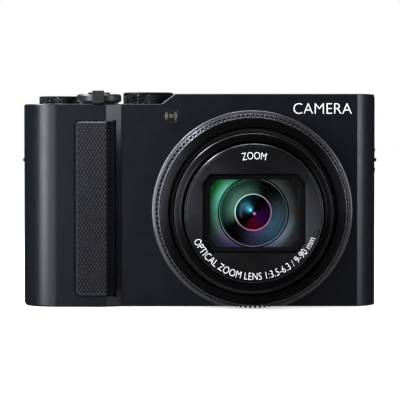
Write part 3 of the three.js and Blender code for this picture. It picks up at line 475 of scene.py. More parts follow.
def grid_bmesh(rows, wrap_rows=False, wrap_columns=False, cap_rows=False):
    """A surface through rows of equally many points. cap_rows closes it at its first and last row."""
    bm = bmesh.new()
    verts = [[bm.verts.new(point) for point in row] for row in rows]
    count_rows, count_columns = len(rows), len(rows[0])
    for i in range(count_rows if wrap_rows else count_rows - 1):
        for j in range(count_columns if wrap_columns else count_columns - 1):
            a, b = verts[i], verts[(i + 1) % count_rows]
            k = (j + 1) % count_columns
            bm.faces.new((a[j], a[k], b[k], b[j]))
    if cap_rows:
        bm.faces.new(verts[0])
        bm.faces.new(verts[-1][::-1])
    return bm


def ease(low, high, value):
    """Smooth step from 0 at low to 1 at high."""
    t = min(max((value - low) / (high - low), 0), 1)
    return t * t * (3 - 2 * t)


def arc(centre, radius, start, end, steps):
    """Points on an arc, in degrees."""
    for i in range(steps + 1):
        angle = math.radians(start + (end - start) * i / steps)
        yield (centre[0] + radius * math.cos(angle), centre[1] + radius * math.sin(angle))


def filleted(corners, steps=4, closed=True):
    """A polyline of (x, y) or (x, y, fillet radius) corners with each corner rounded."""
    points = []
    count = len(corners)
    for i, corner in enumerate(corners):
        here = Vector(corner[:2])
        radius = corner[2] if len(corner) > 2 else 0
        at_end = not closed and i in (0, count - 1)
        if radius <= 0 or at_end:
            points.append(here)
            continue
        before = Vector(corners[i - 1][:2]) - here
        after = Vector(corners[(i + 1) % count][:2]) - here
        half = before.angle(after) / 2
        if half > STRAIGHT:
            points.append(here)
            continue
        reach = radius / math.tan(half)
        reach = min(reach, before.length * 0.499, after.length * 0.499)
        radius = reach * math.tan(half)
        start = here + before.normalized() * reach
        end = here + after.normalized() * reach
        centre = here + (before.normalized() + after.normalized()).normalized() * (radius / math.sin(half))
        from_centre = start - centre
        turn = from_centre.angle_signed(end - centre)
        for step in range(steps + 1):
            rotation = Matrix.Rotation(-turn * step / steps, 2)
            points.append(centre + rotation @ from_centre)
    return points


def rectangle(low, high, radius=0.0, steps=5):
    """Points of a rounded rectangle, equally many for any size."""
    (a0, b0), (a1, b1) = low, high
    return filleted([(a0, b0, radius), (a1, b0, radius), (a1, b1, radius), (a0, b1, radius)], steps)


def lathe(name, profile, centre=LENS, axis="Y", sides=160, steps=3, shape=None, **placing):
    """A piece turned from a closed profile of (radius, along) or (radius, along, fillet) round an axis.

    shape(radius, along, angle) may change the radius, for teeth or knurls."""
    rows = []
    for radius, along in filleted(profile, steps):
        row = []
        for i in range(sides):
            angle = TAU * i / sides
            r = max(shape(radius, along, angle) if shape else radius, 0.0)
            spot = [centre[0] + r * math.cos(angle), centre[1] + r * math.sin(angle)]
            spot.insert("XYZ".index(axis), along)
            row.append(spot)
        rows.append(row)
    return piece(name, smooth_mesh(grid_bmesh(rows, wrap_rows=True, wrap_columns=True)), **placing)


def prism_bmesh(points, axis, low, high):
    """A straight prism. The points are the other two coordinates in X, Y, Z order."""

    def at(point, along):
        spot = list(point)
        spot.insert("XYZ".index(axis), along)
        return spot

    bm = bmesh.new()
    bottom = [bm.verts.new(at(p, low)) for p in points]
    top = [bm.verts.new(at(p, high)) for p in points]
    bm.faces.new(bottom)
    bm.faces.new(top[::-1])
    for i in range(len(points)):
        j = (i + 1) % len(points)
        bm.faces.new((bottom[i], top[i], top[j], bottom[j]))
    bmesh.ops.recalc_face_normals(bm, faces=bm.faces)
    return bm


def block_bmesh(low, high, radius=0.0, axis="Z"):
    """A box whose edges along one axis are rounded."""
    i = "XYZ".index(axis)
    flat = [[*corner[:i], *corner[i + 1:]] for corner in (low, high)]
    return prism_bmesh(rectangle(*flat, radius), axis, low[i], high[i])


def cylinder_bmesh(centre, radius, axis, low, high, sides=64):
    ring = list(arc(centre, radius, 0, 360 - 360 / sides, sides - 1))
    return prism_bmesh(ring, axis, low, high)


def scratch_object(bm):
    mesh = bpy.data.meshes.new("scratch")
    bm.to_mesh(mesh)
    bm.free()
    made = bpy.data.objects.new("scratch", mesh)
    bpy.context.scene.collection.objects.link(made)
    return made


def carved(base, tools, operation="DIFFERENCE"):
    """The bmesh base with each tool bmesh cut from it, or joined or intersected."""
    target = scratch_object(base)
    cutters = [scratch_object(tool) for tool in tools]
    for cutter in cutters:
        modifier = target.modifiers.new("cut", "BOOLEAN")
        modifier.operation = operation
        modifier.object = cutter
        modifier.solver = "EXACT"
    result = bmesh.new()
    result.from_object(target, bpy.context.evaluated_depsgraph_get())
    for scratch in [target, *cutters]:
        bpy.data.objects.remove(scratch)
    return result


def repaint(made, material, chosen):
    """Gives a second material to the faces of a piece whose centre, in millimetres, is chosen."""
    index = len(made.data.materials)
    made.data.materials.append(material)
    for face in made.data.polygons:
        if chosen(face.center / MM):
            face.material_index = index


def from_lens_axis(spot):
    return math.hypot(spot.x - LENS_X, spot.z - LENS_Z)


def even_shading(made):
    """Lets large flat faces set the normals of their small neighbours."""
    modifier = made.modifiers.new("normals", "WEIGHTED_NORMAL")
    modifier.mode = "FACE_AREA"
    modifier.weight = 100
    modifier.keep_sharp = True


def hard_piece(name, bm, bevel=0.15, segments=2, **placing):
    """A machined or moulded piece whose edges are broken by a small bevel."""
    made = piece(name, smooth_mesh(bm, HARD_ANGLE), **placing)
    modifier = made.modifiers.new("edges", "BEVEL")
    modifier.width = bevel * MM
    modifier.segments = segments
    modifier.limit_method = "ANGLE"
    modifier.angle_limit = math.radians(HARD_ANGLE)
    modifier.use_clamp_overlap = False
    modifier.harden_normals = True
    modifier.miter_outer = "MITER_ARC"
    return made


def letters(name, text, size, body, to_place, thickness=0.03, slim=0.0):
    """Raised white lettering of a (width, height). to_place maps flat (x, y, height) to the object's frame.

    A width of 0 keeps the letters' own proportions, and slim thins their strokes."""
    curve = bpy.data.curves.new(name, "FONT")
    curve.body = text
    curve.extrude = 1
    curve.offset = -slim
    curve.resolution_u = 5
    holder = bpy.data.objects.new(name, curve)
    bpy.context.scene.collection.objects.link(holder)
    bpy.context.view_layer.update()
    mesh = bpy.data.meshes.new_from_object(holder.evaluated_get(bpy.context.evaluated_depsgraph_get()))
    bpy.data.objects.remove(holder)
    spots = [vertex.co.copy() for vertex in mesh.vertices]
    low = Vector(min(spot[i] for spot in spots) for i in range(3))
    high = Vector(max(spot[i] for spot in spots) for i in range(3))
    width, height = size
    stretch_y = height / (high.y - low.y)
    stretch_x = stretch_y
    if width:
        stretch_x = width / (high.x - low.x)
    for vertex, spot in zip(mesh.vertices, spots):
        x = (spot.x - (low.x + high.x) / 2) * stretch_x
        y = (spot.y - (low.y + high.y) / 2) * stretch_y
        vertex.co = Vector(to_place(x, y, thickness * (spot.z > 0))) * MM
    mesh.materials.clear()
    piece(name, mesh, body, material=WHITE_INK)


# ==== Body shell ====
def body_path_front(inset):
    """The front half of the body's outline from above, from the left seam round to the right one."""
    slant = math.atan2(FRONT - GRIP_FRONT, SLANT_END_X - GRIP_EDGE_X)
    shift = inset * math.tan(slant / 2)
    right_y = RIGHT_FRONT_CENTRE[1]
    right_r = RIGHT_FRONT_R - inset
    crease = math.degrees(math.acos((right_y - FRONT - inset) / right_r)) - 90
    corners = [(LEFT + inset, SEAM)]
    left_centre = (LEFT + LEFT_FRONT_R, GRIP_FRONT + LEFT_FRONT_R)
    corners += arc(left_centre, LEFT_FRONT_R - inset, 180, 270, 36)
    corners.append((GRIP_EDGE_X - shift, GRIP_FRONT + inset, max(0.6 - inset, 0.05)))
    corners.append((SLANT_END_X - shift, FRONT + inset, 0.7 + inset))
    corners += [(x, FRONT + inset) for x in RAMP_STOPS]
    curve = list(arc(RIGHT_FRONT_CENTRE, right_r, crease, 0, 30))
    corners.append((*curve[0], max(0.5 - inset, 0.02)))
    corners += curve[1:]
    corners.append((RIGHT - inset, SEAM))
    return filleted(corners, 5, closed=False)


def body_path_rear(inset):
    """The rear half, from the right seam round the back to the left one."""
    start = SEAM + SPLIT
    points = [(RIGHT - inset, start)]
    points += arc((RIGHT - REAR_RIGHT_R, REAR - REAR_RIGHT_R), REAR_RIGHT_R - inset, 0, 90, 16)
    points += arc((LEFT + REAR_LEFT_R, REAR - REAR_LEFT_R), REAR_LEFT_R - inset, 90, 180, 20)
    points.append((LEFT + inset, start))
    return [Vector(point) for point in points]


TOP_CORNERS = [(-FAR, DECK), (RAMP_X[0], DECK, 1.8), (RAMP_X[1], HUMP, 0.5), (FAR, HUMP)]
TOP_LINE = filleted(TOP_CORNERS, 6, closed=False)


def top_height(x):
    """Height of the deck, ramp or hump at x."""
    for a, b in zip(TOP_LINE, TOP_LINE[1:]):
        if a.x <= x <= b.x:
            return a.y + (b.y - a.y) * (x - a.x) / (b.x - a.x)
    return HUMP


def wall_loft(outer, inner, top_of, radii_of, steps=5):
    """A wall that follows a plan path from the ground up, with its outer lower and upper edges rounded."""
    rows = []
    for near, far in zip(outer, inner):
        low_r, high_r = radii_of((near - far).normalized(), near.x)
        top = top_of(near.x)
        angles = [step / steps * math.pi / 2 for step in range(steps + 1)]
        section = [(low_r * (1 - math.sin(a)), low_r * (1 - math.cos(a))) for a in angles]
        section += [(high_r * (1 - math.cos(a)), top - high_r * (1 - math.sin(a))) for a in angles]
        section += [(WALL, top), (WALL, 0)]
        spots = [(near.lerp(far, inset / WALL), z) for inset, z in section]
        rows.append([(spot.x, spot.y, z) for spot, z in spots])
    bm = grid_bmesh(rows, wrap_columns=True, cap_rows=True)
    bmesh.ops.recalc_face_normals(bm, faces=bm.faces)
    return bm


def front_radii(normal, x):
    """Radii of the front wall's lower and upper edges. They are smaller where it faces forwards."""
    side = normal.x ** 2
    if x < 0:
        return 0.4 + 0.8 * side, 0.42 + 0.28 * side
    return 0.4 + 0.25 * side, 0.22 + 1.03 * side


RUBBER = {"left": -38.8, "end": -26.35, "bottom": 3.35, "top": 57.9, "gap": 0.36}
RUBBER_SCOOP = 0.75  # depth of the recess under the rubber
LAMP = (-8.96, 59.6)
LAMP_HOLE_R = 2.62
LENS_HOLE_R = 28.4
FRONT_CUT = (-20, -5)  # from outside the front wall to inside


def slant_point(x, offset):
    """A point on the grip's slanted side at x, moved outwards."""
    along = Vector((SLANT_END_X - GRIP_EDGE_X, FRONT - GRIP_FRONT)).normalized()
    outwards = Vector((along.y, -along.x))
    distance = (x - GRIP_EDGE_X) / along.x
    return Vector((GRIP_EDGE_X, GRIP_FRONT)) + along * distance + outwards * offset


def rubber_bed():
    """The recess that the grip's rubber lies in, with rounded corners."""
    gap = RUBBER["gap"]
    left, end = RUBBER["left"] - gap, RUBBER["end"] + 0.3
    outside, bed = GRIP_FRONT - 3, GRIP_FRONT + RUBBER_SCOOP
    plan = [(left, outside), (GRIP_EDGE_X + 0.9, outside), slant_point(end, 3)]
    plan += [slant_point(end, -RUBBER_SCOOP), (GRIP_EDGE_X - 0.2, bed), (left, bed)]
    low, high = RUBBER["bottom"] - gap, RUBBER["top"] + gap
    face = [(left, low, 2.0), (-20, low), (-20, high), (left, high, 1.8)]
    elevation = prism_bmesh(filleted(face, 8), "Y", -22, -8)
    return carved(prism_bmesh(plan, "Z", low - 5, high + 5), [elevation], "INTERSECT")


def make_front_casing():
    shell = wall_loft(body_path_front(0), body_path_front(WALL), top_height, front_radii)
    lens_hole = cylinder_bmesh(LENS, LENS_HOLE_R, "Y", *FRONT_CUT, 128)
    lamp_hole = cylinder_bmesh(LAMP, LAMP_HOLE_R, "Y", *FRONT_CUT)
    mesh = smooth_mesh(carved(shell, [lens_hole, lamp_hole, rubber_bed()]), 30)
    even_shading(piece("front_casing_fine", mesh))


REAR_BUTTONS = {
    "lock_button": (-31.5, 54, 2.2),
    "play_button": (-32, 41, 2.3),
    "display_button": (-31.5, 10.5, 2.3),
    "delete_button": (-46, 10.5, 2.3),
    "finder_button": (23, 55, 2.2),
}
BUTTON_GAP = 0.18
REAR_CUT = (8, 30)  # from inside the rear wall to outside
PAD = (-39, 26)
FINDER = (36.5, 55.5)
DIOPTER = (48.3, 55.5)
SCREEN_LOW, SCREEN_HIGH = node_box("lcd_window")
THUMB_X = (-48.5, 12.5)  # start and size
THUMB_Z = (47, 13)
THUMB_HIGHEST = 1.99


def rear_hole(low, high, radius):
    """A rounded opening's tool, between two (x, z) corners."""
    return block_bmesh((low[0], 5, low[1]), (high[0], 30, high[1]), radius, "Y")


def make_rear_casing():
    top = COVER_Z - SPLIT
    shell = wall_loft(body_path_rear(0), body_path_rear(WALL), lambda x: top, lambda normal, x: (0.7, 0.12))
    screen_low = (SCREEN_LOW.x - SPLIT, SCREEN_LOW.z - SPLIT)
    screen_high = (SCREEN_HIGH.x + SPLIT, SCREEN_HIGH.z + SPLIT)
    holes = [
        rear_hole(screen_low, screen_high, 0.5),
        rear_hole((FINDER[0] - 6.5, FINDER[1] - 4), (FINDER[0] + 6.5, FINDER[1] + 4), 0.6),
        cylinder_bmesh(PAD, 8.85, "Y", *REAR_CUT, 96),
        cylinder_bmesh(DIOPTER, 2.7, "Y", *REAR_CUT, 48),
    ]
    holes += [cylinder_bmesh((x, z), r + BUTTON_GAP, "Y", *REAR_CUT, 48) for x, z, r in REAR_BUTTONS.values()]
    for side, edge in ((-1, LEFT), (1, RIGHT)):
        low, high = sorted((edge + side * 5, edge - side * 8))
        holes.append(block_bmesh((low, 1.05, 41.85), (high, 7.95, 49.65), 0.9, "X"))
    holes.append(block_bmesh((LEFT - 5, 0.2, 13.8), (LEFT + 8, 9, 34.2), 0.6, "X"))
    hard_piece("rear_casing_fine", carved(shell, holes), 0.14)


def thumb_rise(u, v):
    """Height of the thumb rest, with its ribs, at shares of its width and height."""
    edge = min(u, 1 - u) * THUMB_X[1]
    end = min(v, 1 - v) * THUMB_Z[1]
    rise = 1.7 * min(1, edge / 2.4) ** 0.6 * min(1, end / 2.4) ** 0.6
    if 0.12 < v < 0.88 and 0.2 < u < 0.8:
        rise += 0.16 * math.sin(v * 15 * TAU)
    return min(rise, THUMB_HIGHEST)


def make_thumb_rest(columns=24, rows_count=48):
    rows = []
    for i in range(columns + 1):
        u = i / columns
        spots = [(u, j / rows_count) for j in range(rows_count + 1)]
        x = THUMB_X[0] + THUMB_X[1] * u
        rows.append([(x, REAR - 0.3 + thumb_rise(u, v), THUMB_Z[0] + THUMB_Z[1] * v) for u, v in spots])
    piece("thumb_rest_rubber", smooth_mesh(grid_bmesh(rows), 60), slot="grip")


MODE_DIAL = (-16.3, 2.0)
CONTROL_DIAL = (-44.8, 7.0)
LEVER = (-31.6, -8.5)
MOVIE = (-31.0, 3.2)
POWER = (-31.0, 9.6)
TRAY_X = (19.5, 48.5)
TOP_CUT = (50, 80)  # from inside the cover to above it


def make_top_cover():
    gap = WALL + SPLIT
    front = [point for point in body_path_front(gap) if point.y < SEAM - 0.01]
    plan = [*front, (RIGHT - gap, SEAM + SPLIT), *body_path_rear(0), (LEFT + gap, SEAM + SPLIT)]
    above = [*TOP_LINE, (FAR, HUMP + 9), (-FAR, HUMP + 9)]
    x, y = POWER
    tools = [
        prism_bmesh(above, "Y", -30, 30),
        cylinder_bmesh(MODE_DIAL, 8.5, "Z", DECK - 0.2, 80, 96),
        cylinder_bmesh(MODE_DIAL, 3.0, "Z", *TOP_CUT, 48),
        cylinder_bmesh(CONTROL_DIAL, 2.4, "Z", *TOP_CUT, 48),
        cylinder_bmesh(LEVER, 5.2, "Z", *TOP_CUT),
        cylinder_bmesh(MOVIE, 2.45, "Z", *TOP_CUT),
        block_bmesh((x - 3.9, y - 1.8, 50), (x + 3.9, y + 1.8, 80), 1.7),
        block_bmesh((20.6, -11.35, 61.6), (47.4, -0.2, 80), 0.4),
    ]
    tools += [cylinder_bmesh((2.0 + 2.4 * i, 4.0), 0.45, "Z", HUMP - 0.6, 80, 20) for i in range(5)]
    hard_piece("top_cover_fine", carved(prism_bmesh(plan, "Z", COVER_Z, HUMP + 2), tools), 0.18)
    plate = block_bmesh((TRAY_X[0], -11.4, 60.3), (TRAY_X[1], 0.9, 61.5), 0.3)
    hard_piece("flash_tray", plate, 0.1, slot="black_plastic")


DIAMOND_WIDE = 1.12
DIAMOND_TALL = 1.84
LIP_HEIGHT = 0.42
LIP_ROUND = 0.4
BORDER = (0.72, 0.86)  # where the smooth border falls to the field of diamonds
FIELD_HEIGHT = 0.24
DIAMOND_RISE = 0.16
SKIRT = -0.6  # the skin's edge lies in the casing's recess
LIP_HIGHLIGHT_REACH = 0.6  # how far down the upper lip carries a painted highlight
CROWN_DROP = 0.6  # how much lower the rubber's left edge lies
CROWN_REACH = 3.2
GROOVE_HALF = 0.13
GROOVES_START = 0.8  # inside the border, where the grooves' painted shade starts
CORNER_R = {(True, False): 1.5, (False, False): 1.0, (True, True): 1.8, (False, True): 1.3}  # by (left, low)


def rubber_depth(u, v, across, up):
    """How far a spot lies inside the rubber's rounded outline."""
    radius = CORNER_R[(u < across / 2, v < up / 2)]
    qx = abs(u - across / 2) - across / 2 + radius
    qy = abs(v - up / 2) - up / 2 + radius
    return radius - math.hypot(max(qx, 0), max(qy, 0)) - min(max(qx, qy), 0)


def to_groove(u, v):
    """Distance to the nearest of the crossed grooves between the diamonds."""
    a = u / DIAMOND_WIDE + v / DIAMOND_TALL
    b = u / DIAMOND_WIDE - v / DIAMOND_TALL
    between_lines = 1 / math.hypot(1 / DIAMOND_WIDE, 1 / DIAMOND_TALL)
    return between_lines * min(abs(a - round(a)), abs(b - round(b)))


def rubber_height(u, v, across, up):
    """Height of the rubber's skin over the casing at a distance along and up its face."""
    depth = rubber_depth(u, v, across, up)
    if depth <= 0.001:
        return SKIRT
    lip = LIP_HEIGHT * math.sqrt(1 - (1 - min(depth / LIP_ROUND, 1)) ** 2)
    field = FIELD_HEIGHT + DIAMOND_RISE * ease(0.0, 0.3, to_groove(u, v))
    crown = CROWN_DROP * max(1 - u / CROWN_REACH, 0) ** 2
    return lip + (field - LIP_HEIGHT) * ease(*BORDER, depth) - crown


def make_grip_rubber():
    """Moulded rubber with raised diamonds inside a smooth border, in one skin round the grip's edge. Its side
    and grooves carry painted shade and its upper lip a painted highlight.
    """
    corners = [(RUBBER["left"], GRIP_FRONT), (GRIP_EDGE_X, GRIP_FRONT, 0.6), slant_point(RUBBER["end"], 0)]
    line = filleted(corners, 10, closed=False)
    lengths = [0.0]
    for a, b in zip(line, line[1:]):
        lengths.append(lengths[-1] + (b - a).length)
    across = lengths[-1]
    up = RUBBER["top"] - RUBBER["bottom"]
    columns = round(across / DIAMOND_WIDE * 10)
    rows_count = round(up / DIAMOND_TALL * 16)

    def height(i, j):
        return rubber_height(across * i / columns, up * j / rows_count, across, up)

    def look(i, j):
        """Index of the material between two columns and two rows."""
        u, v = across * (i + 0.5) / columns, up * (j + 0.5) / rows_count
        # the side, turned away from the lights, takes the darker copy: painted shade
        if across * i / columns > lengths[-2] - 0.15:
            return 1
        # the upper lip takes the lighter copy: painted highlight
        if up - v < LIP_HIGHLIGHT_REACH:
            return 2
        # faces in the grooves take the darker copy: painted shade
        if rubber_depth(u, v, across, up) > GROOVES_START and to_groove(u, v) < GROOVE_HALF:
            return 3
        return 0

    bm = bmesh.new()
    grid = []
    leg = 0
    for i in range(columns + 1):
        u = across * i / columns
        while leg < len(line) - 2 and u > lengths[leg + 1]:
            leg += 1
        along = (line[leg + 1] - line[leg]).normalized()
        foot = line[leg] + along * (u - lengths[leg])
        outwards = Vector((along.y, -along.x))
        spots = [foot + outwards * height(i, j) for j in range(rows_count + 1)]
        zs = [RUBBER["bottom"] + up * j / rows_count for j in range(rows_count + 1)]
        grid.append([bm.verts.new((spot.x, spot.y, z)) for spot, z in zip(spots, zs)])
    for i in range(columns):
        for j in range(rows_count):
            a, b, c, d = grid[i][j], grid[i + 1][j], grid[i + 1][j + 1], grid[i][j + 1]
            middle = height(i + 0.5, j + 0.5)
            one_way = (height(i, j) + height(i + 1, j + 1)) / 2
            other_way = (height(i + 1, j) + height(i, j + 1)) / 2
            trios = ((a, b, d), (b, c, d))
            if abs(one_way - middle) < abs(other_way - middle):
                trios = ((a, b, c), (a, c, d))
            index = look(i, j)
            for trio in trios:
                bm.faces.new(trio).material_index = index
    made = piece("grip_rubber_fine", smooth_mesh(bm, 180))
    for material in (RUBBER_SIDE_PAINTED_SHADE, RUBBER_LIP_PAINTED_HIGHLIGHT, RUBBER_GROOVE_PAINTED_SHADE):
        made.data.materials.append(material)


# ==== Lens ====
TEETH = 126
TOOTH_ROOT = 29.12
TOOTH_BACK = -16.9  # where the teeth end behind
COLLAR_LOWEST = 0.3
NAME_FACE = -43.2  # front plane of the name ring
WINDOW_OUTER = (15.5, 11.9, 2.4, 2.8)  # half width, half height and the corners' cuts
WINDOW_INNER = (13.15, 10.2, 2.2, 2.5)


def make_collar():
    made = lathe("lens_collar_fine", [
        (26.1, -15.5, 0.15), (30.15, -15.5), (30.3, -15.3, 0.05),
        (31.3, -15.3, 0.45), (31.3, -13.05), (26.1, -13.05),
    ], sides=256)
    for vertex in made.data.vertices:
        vertex.co.z = max(vertex.co.z, COLLAR_LOWEST * MM)
    # The collar's face behind the teeth goes near-black: painted shade between the teeth
    repaint(made, BLACK_AND_PAINTED_SHADE, lambda spot: from_lens_axis(spot) < 30.2)


def tooth_shape(radius, along, angle):
    if radius < TOOTH_ROOT or along > TOOTH_BACK:
        return radius
    return TOOTH_ROOT + (radius - TOOTH_ROOT) * ease(-0.55, 0.35, math.cos(TEETH * angle))


def make_control_ring():
    profile = [
        (26.0, -24.5, 0.25), (28.62, -24.5, 0.08), (28.72, -24.25, 0.03), (28.8, -24.25, 0.03),
        (28.84, -24.52, 0.05), (29.12, -24.48, 0.2), (29.12, -24.1, 0.02), (29.13, -23.9, 0.02),
        (29.5, -23.9, 0.05), (29.85, -23.55, 0.1), (29.85, -17.2, 0.1), (29.4, -16.8, 0.1),
        (29.4, -15.8, 0.1), (26.0, -15.8, 0.1),
    ]
    made = lathe("control_ring_fine", profile, sides=TEETH * 10, shape=tooth_shape)
    repaint(made, RIM_LINE, lambda spot: from_lens_axis(spot) > 28.84 and spot.y < -24.2)
    repaint(made, TOOTH_METAL, lambda spot: from_lens_axis(spot) > 29.1 and -24.2 <= spot.y < TOOTH_BACK)


def make_barrels():
    lathe("lens_housing_fine", [
        (24.5, -20.8, 0.1), (25.7, -20.8, 0.15), (25.7, -12.9), (27.5, -12.9, 0.1),
        (27.5, 5.2, 0.2), (12, 5.2), (12, 4.2), (24.5, 4.2),
    ])
    made = lathe("outer_barrel_fine", [
        (21.8, -33.5, 0.12), (22.35, -33.5, 0.05), (22.45, -33.4, 0.05), (22.7, -33.4, 0.05),
        (22.8, -33.5, 0.05), (23.99, -33.5, 0.08), (24.15, -33.34, 0.08), (24.15, -32.6, 0.05),
        (24.02, -32.5, 0.03), (24.02, -32.3, 0.03), (24.15, -32.2, 0.05), (24.15, -11.5, 0.1),
        (22.6, -11.5, 0.1), (22.6, -32.5), (21.8, -32.5),
    ], sides=192)
    repaint(made, BARREL_RIM, lambda spot: from_lens_axis(spot) > 23.9 and spot.y < -33.2)
    made = lathe("inner_barrel_fine", [
        (20.62, -43.0, 0.08), (20.85, -43.0, 0.08), (21.0, -42.8, 0.08), (21.0, -20.2),
        (22.3, -20.2, 0.1), (22.3, -19.2, 0.1), (19.5, -19.2, 0.1), (19.5, -41.15), (20.62, -41.15),
    ], sides=192)
    repaint(made, BARREL_RIM, lambda spot: spot.y < -42.85)


def octagon_point(angle, half_x, half_z, cut_x, cut_z):
    """Where a ray from the middle meets a rectangle with cut corners."""
    c, s = abs(math.cos(angle)), abs(math.sin(angle))
    corner = ((half_x - cut_x) / cut_x + half_z / cut_z) / (c / cut_x + s / cut_z)
    reach = min(half_x / max(c, 1e-9), half_z / max(s, 1e-9), corner)
    return reach * math.cos(angle), reach * math.sin(angle)


def octagon_angles(half_x, half_z, cut_x, cut_z, between):
    """Angles that include the corners, so that the edges come out straight."""
    first = math.atan2(half_z - cut_z, half_x)
    second = math.atan2(half_z, half_x - cut_x)
    stops = [first, second, math.pi - second, math.pi - first]
    stops += [angle + math.pi for angle in stops]
    stops.append(stops[0] + TAU)
    angles = []
    for a, b in zip(stops, stops[1:]):
        angles += [a + (b - a) * i / between for i in range(between)]
    return angles


def window_ring(name, rows, **placing):
    """A ring from rows of (size, y). A size is a circle's radius, or a window's four sizes."""
    angles = octagon_angles(*WINDOW_OUTER, 16)
    points = []
    for size, y in rows:
        if isinstance(size, tuple):
            spots = [octagon_point(angle, *size) for angle in angles]
        else:
            spots = [(size * math.cos(angle), size * math.sin(angle)) for angle in angles]
        points.append([(LENS_X + x, y, LENS_Z + z) for x, z in spots])
    return piece(name, smooth_mesh(grid_bmesh(points, wrap_rows=True, wrap_columns=True), 28), **placing)


def shrunk(window, amount):
    half_x, half_z, cut_x, cut_z = window
    return (half_x - amount, half_z - amount, cut_x, cut_z)


def make_name_ring():
    made = window_ring("name_ring_fine", [
        (20.45, -41.3), (20.45, -43.0), (20.4, -43.12), (20.27, NAME_FACE),
        (shrunk(WINDOW_OUTER, -0.22), NAME_FACE), (shrunk(WINDOW_OUTER, -0.1), NAME_FACE + 0.04),
        (WINDOW_OUTER, NAME_FACE + 0.16), (shrunk(WINDOW_OUTER, 0.1), NAME_FACE + 0.5),
        (shrunk(WINDOW_OUTER, 0.5), -41.3),
    ])
    # The window's inner wall goes near-black: painted shade in the recess
    repaint(made, BLACK_AND_PAINTED_SHADE, lambda spot: from_lens_axis(spot) < 19.6 and spot.y > -43.02)
    window_ring("barrier_frame_fine", [
        (19.1, -41.0), (shrunk(WINDOW_INNER, -1.2), -41.0), (shrunk(WINDOW_INNER, -0.15), -40.85),
        (WINDOW_INNER, -40.75), (WINDOW_INNER, -40.4), (19.1, -40.4),
    ], material=BLACK_AND_PAINTED_SHADE)


def arc_text(name, text, radius, size, middle, side):
    """Text bent round the lens axis, its head outwards (side 1) or inwards (side -1)."""

    def to_place(x, up, height):
        angle = math.radians(middle) - side * x / radius
        reach = radius + side * up
        return LENS_X + reach * math.cos(angle), NAME_FACE - height, LENS_Z + reach * math.sin(angle)

    letters(name, text, size, "inner_barrel", to_place, slim=0.022)


def lens(name, radius, vertex, curve, rear, sides=96, rings=14, **placing):
    """A lens element whose domed front has its middle at vertex and a radius of curve."""
    spots = [radius * i / rings for i in range(rings + 1)]
    rows = [(r, vertex + curve - math.sqrt(curve * curve - r * r)) for r in spots]
    rows += [(radius, rear - 0.05), (radius - 0.05, rear), (0, rear)]
    points = []
    for r, y in rows:
        around = arc(LENS, r, 0, 360 - 360 / sides, sides - 1)
        points.append([(x, y, z) for x, z in around])
    piece(name, smooth_mesh(grid_bmesh(points, wrap_columns=True), 40), **placing)


def cell_ring(name, material, sides, radii, ys, fillet):
    """A thin ring on the front cell, rounded in front."""
    (near, far), (front, rear) = radii, ys
    profile = [(near, front, fillet), (far, front, fillet), (far, rear), (near, rear)]
    lathe(name, profile, sides=sides, body="inner_barrel", slot="lens_glass", material=material)


def make_glass():
    lens("front_element_fine", 17.3, -37.6, 60, -33.4)
    made = lathe("front_cell_fine", [
        (10.35, -33.1), (10.9, -33.1), (11.0, -32.9), (19.2, -32.9, 0.1), (19.2, -27, 0.1),
        (5.5, -27), (5.5, -29.1), (5.8, -29.25, 0.05), (6.9, -29.3, 0.05), (6.95, -29.6, 0.05),
        (8.4, -29.75, 0.05), (8.45, -30.2, 0.05), (9.7, -30.4, 0.05), (9.8, -31.2, 0.05), (10.3, -31.4),
    ], sides=128, material=CELL_PAINTED_REFLECTIONS)
    repaint(made, FACE_PAINTED_REFLECTIONS, lambda spot: from_lens_axis(spot) > 10.5)
    cell_ring("front_cell_rim", EDGE_GLASS, 128, (10.2, 10.4), (-33.3, -33.1), 0.05)
    cell_ring("front_cell_gap", BLACK_AND_PAINTED_SHADE, 128, (10.44, 10.85), (-33.16, -33.0), 0)
    cell_ring("rear_cell_rim", RIM_GLASS, 96, (5.4, 5.7), (-29.7, -29.2), 0.08)
    lens("second_element_fine", 8.5, -26.7, 24, -23.5, material=INNER_GLASS)


# ==== Top controls ====
KNURL_WIDE = 0.78
KNURL_TALL = 1.0


def knurled_dial(name, centre, radius, low, high, depth, below, above):
    """A dial with crossed cuts round its rim between two heights, and profiles below and above the rim."""
    count = round(TAU * radius / KNURL_WIDE)
    rows = round((high - low) / 0.08)
    rim = [(radius, low + (high - low) * i / rows) for i in range(rows + 1)]

    def shape(r, along, angle):
        if r < radius - 0.02 or not low - 0.05 < along < high + 0.05:
            return r
        a = count * angle / TAU
        b = (along - low + 0.05) / KNURL_TALL
        rise = min(abs((a + b) % 1 - 0.5), abs((a - b) % 1 - 0.5)) * 2
        return r - depth * (1 - rise) - 0.8 * depth * max(1 - rise / 0.3, 0)

    made = lathe(name, [*below, *rim, *above], centre, "Z", count * 10, shape=shape)
    repaint(made, DIAL_FACE, lambda spot: spot.z > high + 0.05)


def flat_letters(name, text, size, body, centre, z, radius, angle):
    """Text lying on a dial, its foot towards the middle."""

    def to_place(x, up, height):
        reach = radius + up
        px = reach * math.cos(angle) + x * math.sin(angle)
        py = reach * math.sin(angle) - x * math.cos(angle)
        return centre[0] + px, centre[1] + py, z + height

    letters(name, text, size, body, to_place)


